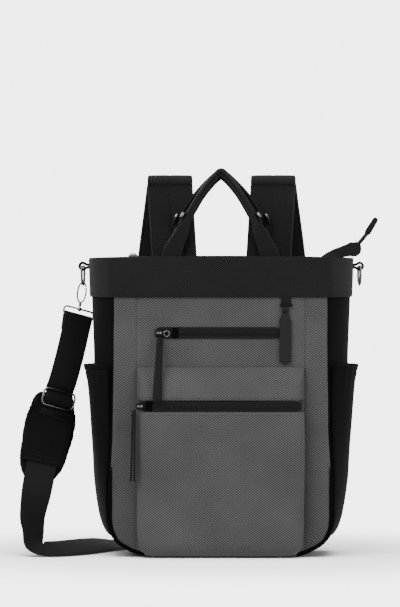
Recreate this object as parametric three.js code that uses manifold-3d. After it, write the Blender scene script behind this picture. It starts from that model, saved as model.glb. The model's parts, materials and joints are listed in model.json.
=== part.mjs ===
// Convertible backpack: a tote with padded shoulder straps, two handles and a clip-on strap.
// Millimetres. +X is the right side, the front faces -Y, +Z is up and the floor is z = 0.
import * as THREE from 'three';
import { mergeVertices } from 'three/addons/utils/BufferGeometryUtils.js';
import Module from 'manifold-3d';

const wasm = await Module();
wasm.setup();

// Bag body
const rimHeight = 373;
const bandHeight = 51;
const bodyWidth = 318;
const frontWidth = 265;
const bodyDepth = 130;
const panelWidth = 209;
const wall = 2;
const backPadding = 6;
const bandWall = 2.5;
const bandOverlap = 6;
const rimArch = 2.5;
const baseWall = 2.2;
const gap = 0.3;
const sewnGap = 0.7;

// Side pockets
const sidePocketHem = 26;
const sidePocketMouth = 233;

// Front pocket
const pocketTop = 236;
const pocketReach = 28;
const pocketCorner = 9;

// Zips
const zipWidth = 14;
const zipWall = 1.6;
const upperZipLeft = -81;
const upperZipRight = 74;
const upperZipHeight = 278;
const pocketZipHeight = 188;
const pocketZipWidth = 16;
const mainZipDrop = 6;
const mainZipLeft = -132;
const mainZipRight = 122;
const sliderWidth = 9;
const sliderDepth = 5;

// Leather
const leatherWall = 2.4;
const tagLength = 70;
const pocketPullLength = 88;
const handleWidth = 25;
const handleGrip = 14;
const handleGripWall = 7;
const handleSpread = 122;
const handleTop = 483;

// Shoulder straps
const shoulderWidth = 57;
const shoulderWall = 9;
const shoulderTop = 474;
const shoulderSpread = 117;
const webbingWidth = 25;
const webbingWall = 1.8;

// Clip-on strap and its metal
const strapWidth = 38;
const strapWall = 1.8;
const padWidth = 67;
const padWall = 8;
const ringWire = 2.6;
const wireEase = 1.1;
const dRingWire = 3;
const dRingWidth = 25;
const dRingHeight = 26;
const dRingDrop = 13;
const dRingBack = 20;
const hookWidth = 13;
const hookHeight = 28;
const hookWire = 2.4;
const clipRingHeight = 12.6;
const sliderDrop = 116;
const sliderHeight = 24;
const sliderFrameWidth = 46;

const vec = (x, y, z) => new THREE.Vector3(x, y, z);
const mix = THREE.MathUtils.lerp;
const halfDepth = bodyDepth / 2;
const panelHalf = panelWidth / 2;
const bandBottom = rimHeight - bandHeight;
const bodyTop = bandBottom + bandOverlap;

const materials = {
  greyFabric: { color: 0x5f6062, roughness: 0.85, metalness: 0 },
  blackFabric: { color: 0x1c1c1e, roughness: 0.85, metalness: 0 },
  webbing: { color: 0x19191b, roughness: 0.8, metalness: 0 },
  leather: { color: 0x2c2c2e, roughness: 0.55, metalness: 0 },
  nickel: { color: 0xb4b4b6, roughness: 0.25, metalness: 1 },
  plastic: { color: 0x161617, roughness: 0.5, metalness: 0 },
};

const backpack = new THREE.Group();

function add(name, geometry, finish) {
  const mesh = new THREE.Mesh(geometry, new THREE.MeshStandardMaterial(materials[finish]));
  mesh.name = name;
  backpack.add(mesh);
  return mesh;
}

// Closed solids from rings of points

function fromTriangles(points, triangles) {
  let volume = 0;
  for (const [a, b, c] of triangles) {
    volume += points[a].dot(points[b].clone().cross(points[c]));
  }
  const order = volume < 0 ? triangles.map(([a, b, c]) => [a, c, b]) : triangles;
  const geometry = new THREE.BufferGeometry();
  geometry.setAttribute('position', new THREE.Float32BufferAttribute(
    points.flatMap((point) => [point.x, point.y, point.z]), 3));
  geometry.setIndex(order.flat());
  geometry.computeVertexNormals();
  return geometry;
}

// Skin over equal rings of points, one after another. Open rows are capped at both ends.
function skin(rings, closed = false) {
  const count = rings[0].length;
  const points = rings.flat();
  const triangles = [];
  const last = closed ? rings.length : rings.length - 1;
  for (let i = 0; i < last; i += 1) {
    const here = i * count;
    const there = ((i + 1) % rings.length) * count;
    for (let j = 0; j < count; j += 1) {
      const next = (j + 1) % count;
      triangles.push([here + j, there + j, there + next], [here + j, there + next, here + next]);
    }
  }
  if (!closed) {
    for (const [start, flip] of [[0, false], [(rings.length - 1) * count, true]]) {
      const half = count / 2;
      for (let j = 0; j < half - 1; j += 1) {
        const [a, b, c, d] = [start + j, start + j + 1, start + count - 2 - j, start + count - 1 - j];
        triangles.push(flip ? [a, c, b] : [a, b, c], flip ? [a, d, c] : [a, c, d]);
      }
    }
  }
  return fromTriangles(points, triangles);
}

// A wall between two rows of points at each level: each ring runs out along one row, back along the other.
function wallBetween(outerRows, innerRows) {
  return skin(outerRows.map((row, i) => [...row, ...innerRows[i].slice().reverse()]));
}

function steps(from, to, count) {
  return Array.from({ length: count + 1 }, (unused, i) => mix(from, to, i / count));
}

function plate(outline, thickness) {
  const shape = new THREE.Shape(outline.map(([x, y]) => new THREE.Vector2(x, y)));
  return new THREE.ExtrudeGeometry(shape, { depth: thickness, bevelEnabled: false });
}

function merged(geometry) {
  const bare = geometry.clone();
  bare.deleteAttribute('normal');
  bare.deleteAttribute('uv');
  return mergeVertices(bare, 1e-4);
}

function toSolid(geometry) {
  const bare = merged(geometry);
  return new wasm.Manifold(new wasm.Mesh({
    numProp: 3,
    vertProperties: Float32Array.from(bare.attributes.position.array),
    triVerts: Uint32Array.from(bare.index.array),
  }));
}

function joined(geometries) {
  const mesh = geometries.map(toSolid).reduce((sum, next) => sum.add(next)).getMesh();
  const geometry = new THREE.BufferGeometry();
  geometry.setAttribute('position', new THREE.BufferAttribute(mesh.vertProperties, 3));
  geometry.setIndex(new THREE.BufferAttribute(mesh.triVerts, 1));
  geometry.computeVertexNormals();
  return geometry;
}

// Body sections in plan, from the floor up. at is a share of the rim height, side of half the body's
// width, front of half the front's width and depth of half the depth.
const sections = [
  { at: 0, side: 0.616, front: 0.6, depth: 0.88 },
  { at: 0.0055, side: 0.685, front: 0.717, depth: 0.92 },
  { at: 0.0135, side: 0.74, front: 0.79, depth: 0.955 },
  { at: 0.032, side: 0.8, front: 0.898, depth: 0.98 },
  { at: 0.051, side: 0.845, front: 0.98, depth: 0.99 },
  { at: 0.091, side: 0.906, front: 1.034, depth: 1 },
  { at: 0.131, side: 0.938, front: 1.047, depth: 1 },
  { at: 0.188, side: 0.96, front: 1.042, depth: 1 },
  { at: 0.268, side: 0.981, front: 1.034, depth: 1 },
  { at: 0.413, side: 1, front: 1.011, depth: 1 },
  { at: 0.654, side: 1, front: 1.001, depth: 1 },
  { at: 0.863, side: 1.016, front: 1, depth: 1 },
  { at: 1, side: 1.024, front: 1, depth: 1 },
];
const backShare = 1.055;
const gussetRoundness = 2.2;
const cornerGrowth = 0.45;
const hemLift = 0.4;

function sectionAt(height) {
  const share = height / rimHeight;
  const upper = Math.max(1, sections.findIndex((row) => row.at >= share));
  const [low, high] = [sections[upper - 1], sections[upper]];
  const t = (share - low.at) / (high.at - low.at);
  const front = mix(low.front, high.front, t) * frontWidth / 2;
  return {
    height,
    side: mix(low.side, high.side, t) * bodyWidth / 2,
    front,
    back: front * backShare,
    depth: mix(low.depth, high.depth, t) * halfDepth,
  };
}

// The section's layer a distance outside it, or inside it where growth is negative.
function grown(section, growth) {
  return {
    ...section,
    side: section.side + growth,
    front: section.front + growth * cornerGrowth,
    back: section.back + growth * cornerGrowth,
    depth: section.depth + growth,
  };
}

// A point of the side's curve: t is -1 at the front corner, 0 at mid depth and 1 at the back corner.
function sidePoint(section, t, sign, lift = 0) {
  const corner = t < 0 ? section.front : section.back;
  const x = corner + (section.side - corner) * (1 - Math.abs(t) ** gussetRoundness);
  return vec(sign * x, section.depth * t, section.height + lift);
}

// How far the inside of a wall lies in and up from its outside, where the side leans out.
function wallOffset(height, thickness) {
  const [low, high] = [sectionAt(Math.max(0, height - 1.5)), sectionAt(Math.min(rimHeight, height + 1.5))];
  const lean = Math.atan2(high.side - low.side, high.height - low.height);
  return { inset: thickness * Math.cos(lean), lift: thickness * Math.max(0, Math.sin(lean)) };
}

function levels(from, to) {
  const between = sections.map((row) => row.at * rimHeight).filter((z) => z > from + 1 && z < to - 1);
  return [from, ...between, to];
}

// A body wall. pointsOf(section, lift) gives its row of points on a section.
function bodyWall(heights, thickness, pointsOf) {
  const outer = heights.map((z) => pointsOf(sectionAt(z), 0));
  const inner = heights.map((z) => {
    const { inset, lift } = wallOffset(z, thickness);
    return pointsOf(grown(sectionAt(z), -inset), lift);
  });
  return wallBetween(outer, inner);
}

function across(from, to, y, z, count = 4) {
  return steps(from, to, count).map((x) => vec(x, y, z));
}

function makeBody() {
  const wallLevels = levels(hemLift, bodyTop);
  const seam = gap / 2;
  const turns = steps(-1, 1, 8);
  const cornerTurn = 0.004;

  const floorOutline = [];
  const floorSection = grown(sectionAt(0), -gap);
  for (const sign of [1, -1]) {
    const side = turns.map((t) => sidePoint(floorSection, t * sign, sign));
    floorOutline.push(...side.map((point) => [point.x, point.y]));
  }
  add('base_panel', plate(floorOutline, baseWall), 'blackFabric');

  add('front_panel', bodyWall(wallLevels, wall, (section, lift) => {
    const half = Math.min(panelHalf - seam, section.front - 2 * seam);
    return across(-half, half, -section.depth, section.height + lift);
  }), 'greyFabric');

  const stripLevels = wallLevels.filter((z) => sectionAt(z).front > panelHalf + 6);
  for (const [side, sign] of [['left', -1], ['right', 1]]) {
    add(`front_strip_${side}`, bodyWall(stripLevels, wall, (section, lift) => across(
      sign * (panelHalf + seam), sign * (section.front - seam), -section.depth, section.height + lift, 2,
    )), 'greyFabric');
    add(`side_gusset_${side}`, bodyWall(wallLevels, wall, (section, lift) => turns.map((t) => (
      sidePoint(section, t * (1 - cornerTurn), sign, lift)))), 'blackFabric');
  }

  add('back_panel', bodyWall(wallLevels, backPadding, (section, lift) => across(
    -section.back + seam, section.back - seam, section.depth, section.height + lift,
  )), 'blackFabric');
}

// The band's top edge falls a little towards the sides.
function bandRow(section, points, top) {
  return points.map((point) => {
    const drop = top ? rimArch * (point.x / section.side) ** 2 : 0;
    return vec(point.x, point.y, point.z - drop);
  });
}

function makeBand() {
  const heights = [bandBottom, bandBottom + bandHeight / 2, rimHeight];
  const seam = gap / 2;
  const bandPiece = (pointsOf) => {
    const layer = (growth) => heights.map((z) => {
      const section = grown(sectionAt(z), growth);
      return bandRow(section, pointsOf(section), z === rimHeight);
    });
    return wallBetween(layer(gap + bandWall), layer(gap));
  };
  add('top_band_front', bandPiece((section) => across(
    -section.front + seam, section.front - seam, -section.depth, section.height, 8)), 'blackFabric');
  add('top_band_back', bandPiece((section) => across(
    -section.back + seam, section.back - seam, section.depth, section.height, 8)), 'blackFabric');
  for (const [side, sign] of [['left', -1], ['right', 1]]) {
    add(`top_band_${side}`, bandPiece((section) => steps(-0.996, 0.996, 8).map((t) => (
      sidePoint(section, t, sign)))), 'blackFabric');
  }
}

// Side pocket rows, as shares of the pocket's height: how far it stands off as a share of the mouth's.
const sidePocketRows = [
  { at: 0, off: 0 },
  { at: 0.12, off: 0.02 },
  { at: 0.36, off: 0.05 },
  { at: 0.6, off: 0.12 },
  { at: 0.77, off: 0.35 },
  { at: 0.9, off: 0.5 },
  { at: 1, off: 1 },
];
const mouthOpening = 8;

function tableValue(rows, at, column) {
  const upper = Math.max(1, rows.findIndex((row) => row.at >= at - 1e-9));
  const [low, high] = [rows[upper - 1], rows[upper]];
  return mix(low[column], high[column], (at - low.at) / (high.at - low.at));
}

function makeSidePockets() {
  const heights = levels(sidePocketHem, sidePocketMouth);
  const extra = sidePocketRows.slice(3, -1).map(({ at }) => mix(sidePocketHem, sidePocketMouth, at));
  const rows = [...heights, ...extra].sort((a, b) => a - b);
  const turns = [-0.93, ...steps(-0.75, 0.75, 6), 0.93];
  for (const [side, sign] of [['left', -1], ['right', 1]]) {
    const layer = (thickness) => rows.map((height) => {
      const at = (height - sidePocketHem) / (sidePocketMouth - sidePocketHem);
      const off = tableValue(sidePocketRows, at, 'off');
      return turns.map((t) => {
        const bulge = off * mouthOpening * (1 - t * t);
        const point = sidePoint(grown(sectionAt(height), sewnGap + thickness), t, sign);
        return vec(point.x + sign * bulge, point.y, point.z);
      });
    });
    add(`side_pocket_${side}`, wallBetween(layer(wall), layer(0)), 'blackFabric');
  }
}

// Front pocket rows: out is a share of its reach, half of half the centre panel's width.
const yokeRows = [
  { at: 1, out: 0.1, half: 0.995 },
  { at: 0.5, out: 0.55, half: 0.995 },
  { at: 0, out: 0.9, half: 0.995 },
];
const pocketRows = [
  { at: 1, out: 0.97, half: 0.995 },
  { at: 0.6, out: 1, half: 0.995 },
  { at: 0.2, out: 1, half: 0.985 },
  { at: 0.075, out: 0.97, half: 0.965 },
  { at: 0.03, out: 0.85, half: 0.93 },
  { at: 0.004, out: 0.6, half: 0.89 },
];

// The pocket's plan: out from the centre panel, round a corner, over its front and back again.
function pocketPlan({ out, half }, height, inset, lift) {
  const x = panelHalf * half - inset;
  const root = -halfDepth - gap;
  const front = root - Math.max(out * pocketReach, inset + 0.6) + inset;
  const corner = Math.min(pocketCorner, Math.abs(front - root) * 0.6);
  const z = height + lift;
  const right = [
    vec(x, root, z),
    vec(x, front + corner, z),
    vec(x - corner * 0.3, front + corner * 0.3, z),
    vec(x - corner, front, z),
  ];
  const left = right.map((point) => vec(-point.x, point.y, point.z)).reverse();
  return [...right, vec(0, front, z), ...left];
}

function makeFrontPocket() {
  const zipTop = pocketZipHeight + pocketZipWidth / 2 - 1;
  const zipBottom = pocketZipHeight - pocketZipWidth / 2 + 1;
  const floor = wall;
  const yoke = (inset, lift) => yokeRows.map((row) => (
    pocketPlan(row, mix(zipTop + gap, pocketTop, row.at), inset, lift)));
  add('pocket_yoke', wallBetween(yoke(0, 0), yoke(wall, -wall * 0.55)), 'greyFabric');
  const front = (inset) => pocketRows.map((row) => {
    const lift = row.at < 0.1 ? inset * (1 - row.at / 0.1) : 0;
    return pocketPlan(row, mix(floor, zipBottom - gap, row.at), inset, lift);
  });
  add('pocket_front', wallBetween(front(0), front(wall)), 'greyFabric');
}

// Sections of a strip. A strip that twists has points across it, which keep its two faces apart.
const flatSides = [
  [1, -0.7], [1, 0.7], [0.92, 1], [-0.92, 1],
  [-1, 0.7], [-1, -0.7], [-0.92, -1], [0.92, -1],
];
const squareSides = [[1, -1], [1, 1], [-1, 1], [-1, -1]];
const twistSides = [
  [1, -1], [1, 1], [0.33, 1], [-0.33, 1],
  [-1, 1], [-1, -1], [-0.33, -1], [0.33, -1],
];

// Stations on a smooth curve through the given ones, count for each step.
function finer(stations, count) {
  const curve = new THREE.CatmullRomCurve3(stations.map(({ at }) => at));
  const last = stations.length - 1;
  return Array.from({ length: last * count + 1 }, (unused, k) => {
    const i = Math.min(Math.floor(k / count), last - 1);
    const t = k / count - i;
    const [a, b] = [stations[i], stations[i + 1]];
    return {
      at: curve.getPoint(k / (last * count)),
      side: a.side.clone().lerp(b.side, t).normalize(),
      width: mix(a.width, b.width, t),
      thick: mix(a.thick, b.thick, t),
    };
  });
}

// The directions across and out of a strip at one of its stations.
function stripFrame(stations, i) {
  const before = stations[Math.max(0, i - 1)].at;
  const after = stations[Math.min(stations.length - 1, i + 1)].at;
  const along = after.clone().sub(before).normalize();
  const { side } = stations[i];
  const wide = side.clone().addScaledVector(along, -side.dot(along)).normalize();
  return { wide, up: along.clone().cross(wide) };
}

// A flat strip swept through stations, each with a centre, its direction across, width and thickness.
function strip(stations, sides = squareSides) {
  return skin(stations.map((station, i) => {
    const { wide, up } = stripFrame(stations, i);
    return sides.map(([a, b]) => station.at.clone()
      .addScaledVector(wide, a * station.width / 2)
      .addScaledVector(up, b * station.thick / 2));
  }));
}

// Points round part of a circle, in the plane of two directions.
function arcPoints(centre, radius, from, to, count, first, second) {
  return steps(from, to, count).map((angle) => centre.clone()
    .addScaledVector(first, radius * Math.cos(angle))
    .addScaledVector(second, radius * Math.sin(angle)));
}

// Wire along flat points in the XY plane.
function wire(points, diameter, closed = true, sides = 6) {
  const up = vec(0, 0, 1);
  const rings = points.map((point, i) => {
    const before = points[closed ? (i + points.length - 1) % points.length : Math.max(0, i - 1)];
    const after = points[closed ? (i + 1) % points.length : Math.min(points.length - 1, i + 1)];
    const along = after.clone().sub(before).normalize();
    const out = along.clone().cross(up);
    return Array.from({ length: sides }, (unused, k) => {
      const angle = (2 * Math.PI * (k + 0.5)) / sides;
      return point.clone()
        .addScaledVector(out, Math.cos(angle) * diameter / 2)
        .addScaledVector(up, Math.sin(angle) * diameter / 2);
    });
  });
  return skin(rings, closed);
}

function roundedBox(width, height, radius, count = 3) {
  const points = [];
  for (const [sx, sy, from] of [[1, 1, 0], [-1, 1, 0.5], [-1, -1, 1], [1, -1, 1.5]]) {
    const centre = vec(sx * (width / 2 - radius), sy * (height / 2 - radius), 0);
    points.push(...arcPoints(centre, radius, from * Math.PI, (from + 0.5) * Math.PI, count,
      vec(1, 0, 0), vec(0, 1, 0)));
  }
  return points;
}

function disc(radius, thickness, sides = 12) {
  return new THREE.CylinderGeometry(radius, radius, thickness, sides);
}

const standing = (geometry) => geometry.rotateX(Math.PI / 2);

// Top closure: two flat panels, the zip between them and its loose end
const zipLevel = rimHeight - mainZipDrop;
const zipPanelWall = 1.5;
const mainZipHalf = zipWidth / 2;

function makeTopClosure() {
  const edge = halfDepth - leatherWall - 3 * gap;
  const inside = grown(sectionAt(zipLevel), -gap);
  for (const [face, sign] of [['front', -1], ['back', 1]]) {
    const curve = steps(0.86, 0.2, 4).map((t) => {
      const point = sidePoint(inside, sign * t, -1);
      return [point.x, sign * Math.min(edge, Math.abs(point.y))];
    });
    const outline = [
      [mainZipRight, sign * edge],
      ...curve,
      [curve[curve.length - 1][0], sign * (mainZipHalf + gap)],
      [mainZipRight, sign * (mainZipHalf + gap)],
    ];
    const panel = plate(outline, zipPanelWall).translate(0, 0, zipLevel - zipPanelWall);
    add(`zip_panel_${face}`, panel, 'blackFabric');
  }
  const tapeLength = mainZipRight - mainZipLeft;
  add('main_zip_tape', new THREE.BoxGeometry(tapeLength, zipWidth, zipPanelWall), 'webbing')
    .position.set(mainZipLeft + tapeLength / 2, 0, zipLevel - zipPanelWall / 2);
  const mainSliderLength = 12;
  const mainSliderHeight = sliderDepth + 3;
  add('main_zip_slider', new THREE.BoxGeometry(mainSliderLength, sliderWidth, mainSliderHeight), 'nickel')
    .position.set(mainZipLeft + 22, 0, zipLevel + gap + mainSliderHeight / 2);

  // The zip's loose end, past the right side: its folded tape, a tab and a leather end.
  const rise = 22;
  const wingRows = [
    { x: 0, z: -0.03, width: 1.3, turn: 0.05 },
    { x: 0.35, z: 0.2, width: 1.4, turn: 0.45 },
    { x: 0.7, z: 0.5, width: 1.4, turn: 0.9 },
    { x: 1, z: 0.73, width: 1.3, turn: 1.25 },
  ];
  const wingLength = 45;
  const wing = wingRows.map(({ x, z, width, turn }) => ({
    at: vec(mainZipRight + gap + x * wingLength, 0, zipLevel + z * rise),
    side: vec(0, Math.cos(turn), Math.sin(turn)),
    width: width * zipWidth,
    thick: wall,
  }));
  add('zip_tail_wing', strip(finer(wing, 4), twistSides), 'blackFabric');
  const wingEnd = wing[wing.length - 1];
  const { wide: wingAcross } = stripFrame(wing, wing.length - 1);
  const tabStart = wingEnd.at.clone().add(vec(0.6, 0, 0.5))
    .addScaledVector(wingAcross, wingEnd.width * 0.36);
  const lean = vec(0.64, 0, 0.77);
  const tabLength = 17;
  const endLength = 22;
  const tab = [0, 1].map((t) => ({
    at: tabStart.clone().addScaledVector(lean, t * tabLength),
    side: vec(0, 1, 0),
    width: zipWidth / 2,
    thick: wall,
  }));
  add('zip_tail_tab', strip(tab), 'webbing');
  const endStart = tabStart.clone().addScaledVector(lean, tabLength + gap);
  const steep = vec(0.52, 0, 0.85);
  add('zip_tail_end', strip([0, 0.5, 1].map((t) => ({
    at: endStart.clone().addScaledVector(steep, t * endLength),
    side: vec(0, 1, 0),
    width: zipWidth,
    thick: mix(2 * leatherWall, leatherWall, t),
  }))), 'leather');
}

// Leather pull: a tapered strip hanging from a slider, in front of what is behind it.
function pull(name, top, bottom, widths, thickness, side = vec(1, 0, 0)) {
  add(name, strip([0, 0.15, 0.5, 1].map((t) => ({
    at: top.clone().lerp(bottom, t),
    side,
    width: mix(widths[0], widths[1], t),
    thick: thickness,
  }))), 'leather');
}

function zipBar(name, left, right, height, width, y) {
  const outline = roundedBox(right - left, width, width * 0.45).map((point) => [point.x, point.y]);
  add(name, standing(plate(outline, zipWall)), 'webbing').position.set((left + right) / 2, y, height);
}

function makeFrontDetails() {
  const panelFace = -halfDepth - gap;
  zipBar('upper_zip_tape', upperZipLeft, upperZipRight, upperZipHeight, zipWidth, panelFace);
  const upperSlider = vec(upperZipLeft + 5, panelFace - zipWall - gap - sliderDepth / 2, upperZipHeight);
  add('upper_zip_slider', new THREE.BoxGeometry(sliderWidth, sliderDepth, sliderWidth), 'nickel')
    .position.copy(upperSlider);
  const ringCentre = upperSlider.clone().add(vec(sliderWidth / 2 + 4.4 + gap, 0, -1));
  add('upper_zip_ring', standing(wire(roundedBox(7, 7, 3.4), 1.6)), 'nickel').position.copy(ringCentre);

  const pocketFace = -halfDepth - gap - pocketReach;
  const pullTop = upperSlider.clone().add(vec(1, -1, -sliderWidth / 2 - 3 * gap));
  const pullBottom = vec(pullTop.x - 3, pocketFace - 4.5, pocketZipHeight + 6);
  pull('upper_zip_pull', pullTop, pullBottom, [7.5, 12], leatherWall);

  const zipY = pocketFace + pocketReach * 0.07 + zipWall;
  const zipEnd = panelHalf - pocketCorner / 2;
  zipBar('pocket_zip_tape', -zipEnd, zipEnd, pocketZipHeight, pocketZipWidth - 2 - 2 * gap, zipY);
  const pocketSlider = vec(-zipEnd + 1, zipY - zipWall - gap - sliderDepth / 2, pocketZipHeight);
  add('pocket_zip_slider', new THREE.BoxGeometry(sliderWidth, sliderDepth, sliderWidth), 'nickel')
    .position.copy(pocketSlider);
  const sidePull = pocketSlider.clone().add(vec(-sliderWidth / 2 - 3.2, 0, -sliderWidth / 2));
  const pullEnd = sidePull.clone().add(vec(-1.5, -3.5, -pocketPullLength));
  pull('pocket_zip_pull', sidePull, pullEnd, [8, 11], 2 * leatherWall, vec(0, 1, 0));

  // Key tab: a webbing loop under the band, a bar and a bare leather tag.
  const tagX = 80;
  const loopHeight = 7;
  const loopTop = bandBottom - gap;
  add('key_loop', new THREE.BoxGeometry(12, 3, loopHeight), 'webbing')
    .position.set(tagX + 1, panelFace - 1.5, loopTop - loopHeight / 2);
  add('key_bar', new THREE.BoxGeometry(15, 3, 4), 'nickel')
    .position.set(tagX + 1, panelFace - 1.5, loopTop - loopHeight - gap - 2);
  const tagTop = loopTop - loopHeight - 2 * gap - 4;
  const half = [[4, 0], [4.3, -11], [7, -16], [7, -tagLength + 3], [4, -tagLength]];
  const tag = [...half.map(([x, y]) => [-x, y]).reverse(), ...half];
  add('key_tab', standing(plate(tag, leatherWall)), 'leather')
    .position.set(tagX, panelFace - zipWall - gap, tagTop);
}

// Handles: one strap each, flat where it is sewn inside the band and folded along its grip.
const handleRows = [
  { spread: 1, up: -0.3, reach: 1, width: 1, fold: 0 },
  { spread: 1, up: 0.02, reach: 1, width: 1, fold: 0 },
  { spread: 0.93, up: 0.17, reach: 0.98, width: 0.95, fold: 0.05 },
  { spread: 0.83, up: 0.3, reach: 0.95, width: 0.8, fold: 0.35 },
  { spread: 0.72, up: 0.4, reach: 0.9, width: 0.52, fold: 1 },
  { spread: 0.6, up: 0.52, reach: 0.82, width: 0.5, fold: 1 },
  { spread: 0.41, up: 0.72, reach: 0.64, width: 0.5, fold: 1 },
  { spread: 0.2, up: 0.89, reach: 0.38, width: 0.54, fold: 1 },
  { spread: 0.07, up: 0.965, reach: 0.2, width: 0.58, fold: 1 },
];
const apexReach = 0.16;
const backBow = 0.14;
const gripStart = 4;
const studWidth = 8;
const studDepth = 3;

function makeHandles() {
  const climb = handleTop - handleGrip / 2 - rimHeight;
  const seat = halfDepth - leatherWall / 2 - gap;
  for (const [face, sign] of [['front', -1], ['back', 1]]) {
    // The back handle's legs bow out a little past the front one's
    const bow = face === 'back' ? backBow : 0;
    const half = handleRows.map(({ spread, up, reach, width, fold }) => ({
      at: vec(
        -(spread + bow * fold * Math.sin(Math.PI * up)) * handleSpread / 2,
        sign * seat * reach,
        rimHeight + up * climb,
      ),
      side: vec(Math.cos(fold), 0, -Math.sin(fold)),
      width: width * handleWidth,
      thick: mix(leatherWall, handleGripWall, fold),
    }));
    const apex = { ...half[half.length - 1], at: vec(0, sign * seat * apexReach, rimHeight + climb) };
    apex.side = vec(0, 0, -1);
    const other = half.map((row) => ({
      ...row, at: vec(-row.at.x, row.at.y, row.at.z), side: vec(-row.side.x, 0, row.side.z),
    })).reverse();
    const handle = [...half, apex, ...other];
    add(`handle_${face}`, strip(handle), 'leather');
    for (const [side, row] of [['left', gripStart], ['right', handle.length - 1 - gripStart]]) {
      const { wide } = stripFrame(handle, row);
      const out = handle[row].width / 2 + 2 * gap + studDepth / 2;
      const next = handle[row + (side === 'left' ? 1 : -1)].at;
      const stud = add(`handle_stud_${face}_${side}`, disc(studWidth / 2, studDepth), 'nickel');
      stud.position.copy(handle[row].at).lerp(next, 0.4).addScaledVector(wide, -out);
      stud.quaternion.setFromUnitVectors(vec(0, 1, 0), wide);
    }
  }
}

// Shoulder straps. x is a share of half their spread, z of their top's height, and out of their reach.
const shoulderReach = 38;
const shoulderRows = [
  { x: 1, z: 0.728, out: 0 },
  { x: 1, z: 0.797, out: 0.02 },
  { x: 1.05, z: 0.905, out: 0.12 },
  { x: 1.1, z: 0.965, out: 0.22 },
];
const foldCentre = { x: 1.12, z: 0.972, out: 0.42 };
const shoulderBackRows = [
  { x: 1.15, z: 0.955, out: 0.62 },
  { x: 1.2, z: 0.907, out: 0.75 },
  { x: 1.32, z: 0.795, out: 0.95 },
  { x: 1.47, z: 0.633, out: 1 },
  { x: 1.64, z: 0.464, out: 0.85 },
  { x: 1.78, z: 0.316, out: 0.55 },
  { x: 1.81, z: 0.274, out: 0.45 },
];
const lockHeight = 26;
const lockWidth = webbingWidth + 9;
const lockWall = 3.2;
const lockBar = 4;
const lockSlot = 5.5;

function makeShoulderStraps() {
  const root = halfDepth + 2 * gap + bandWall + shoulderWall / 2;
  for (const [name, sign] of [['left', -1], ['right', 1]]) {
    const at = ({ x, z, out }) => vec(
      sign * x * shoulderSpread / 2, root + out * shoulderReach, z * shoulderTop);
    const centre = at(foldCentre);
    const radius = shoulderTop - shoulderWall / 2 - centre.z;
    const fold = arcPoints(centre, radius, Math.PI * 0.88, Math.PI * 0.12, 4, vec(0, 1, 0), vec(0, 0, 1));
    const path = [...shoulderRows.map(at), ...fold, ...shoulderBackRows.map(at)];
    const strap = path.map((point, i) => ({
      at: point,
      side: vec(1, 0, 0),
      width: shoulderWidth * (i === path.length - 1 ? 0.7 : 1),
      thick: i === path.length - 1 ? shoulderWall * 0.5 : shoulderWall,
    }));
    add(`shoulder_strap_${name}`, strip(strap, flatSides), 'blackFabric');

    // Webbing from the strap's end to a ladder lock, and on to the base corner.
    const top = path[path.length - 1];
    const footX = (frontWidth - webbingWidth) / 2;
    const foot = vec(sign * footX, halfDepth + 2 * gap + webbingWall / 2, 0.07 * rimHeight);
    const up = top.clone().sub(foot).normalize();
    const wide = vec(1, 0, 0).addScaledVector(up, -up.x).normalize();
    const out = up.clone().cross(wide);
    const length = top.distanceTo(foot);
    const lockAt = foot.clone().addScaledVector(up, length * 0.62);
    const local = (y, z) => lockAt.clone().addScaledVector(out, y).addScaledVector(up, z);
    const lockOutline = roundedBox(lockWidth, lockHeight, 3, 2);
    const lock = new THREE.Shape(lockOutline.map(({ x, y }) => new THREE.Vector2(x, y)));
    const bar = lockHeight / 2 - lockBar / 2;
    for (const end of [1, -1]) {
      const slotCentre = end * (bar - lockBar / 2 - lockSlot / 2);
      lock.holes.push(new THREE.Path([[-1, -1], [1, -1], [1, 1], [-1, 1]].map(([a, b]) => new THREE.Vector2(
        a * (webbingWidth / 2 + 1.5), slotCentre + b * lockSlot / 2))));
    }
    const basis = new THREE.Matrix4().makeBasis(wide, up, wide.clone().cross(up)).setPosition(lockAt);
    add(`ladder_lock_${name}`, new THREE.ExtrudeGeometry(lock, { depth: lockWall, bevelEnabled: false })
      .translate(0, 0, -lockWall / 2).applyMatrix4(basis), 'plastic');
    const turn = Math.hypot(lockBar, lockWall) / 2 + gap + webbingWall / 2;
    for (const [part, end, far] of [['upper', 1, length * 0.38 - 4 * gap], ['lower', -1, length * 0.62]]) {
      const curve = steps(0, -Math.PI, 6).map((angle) => local(
        turn * Math.cos(angle), end * (bar + turn * Math.sin(angle))));
      const tail = local(-turn, end * (bar + 12));
      const lead = local(turn * 0.9, end * (bar + 7));
      const line = [local(0, end * far), lead, ...curve, tail];
      const webbing = strip(line.map((point) => ({
        at: point, side: wide, width: webbingWidth, thick: webbingWall,
      })));
      add(`strap_webbing_${part}_${name}`, webbing, 'webbing');
    }
  }
}

// Rings at the bag's sides
const ringReach = 10;
const loopEase = 1.1;
const loopWidth = 14;
const ringTurn = 0.12;
const loopLevel = rimHeight - dRingDrop;
const ringLevel = loopLevel - 0.4;
const ringFace = sidePoint(grown(sectionAt(loopLevel), gap + bandWall), dRingBack / halfDepth, 1);
const ringBarX = ringFace.x + ringReach;

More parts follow.
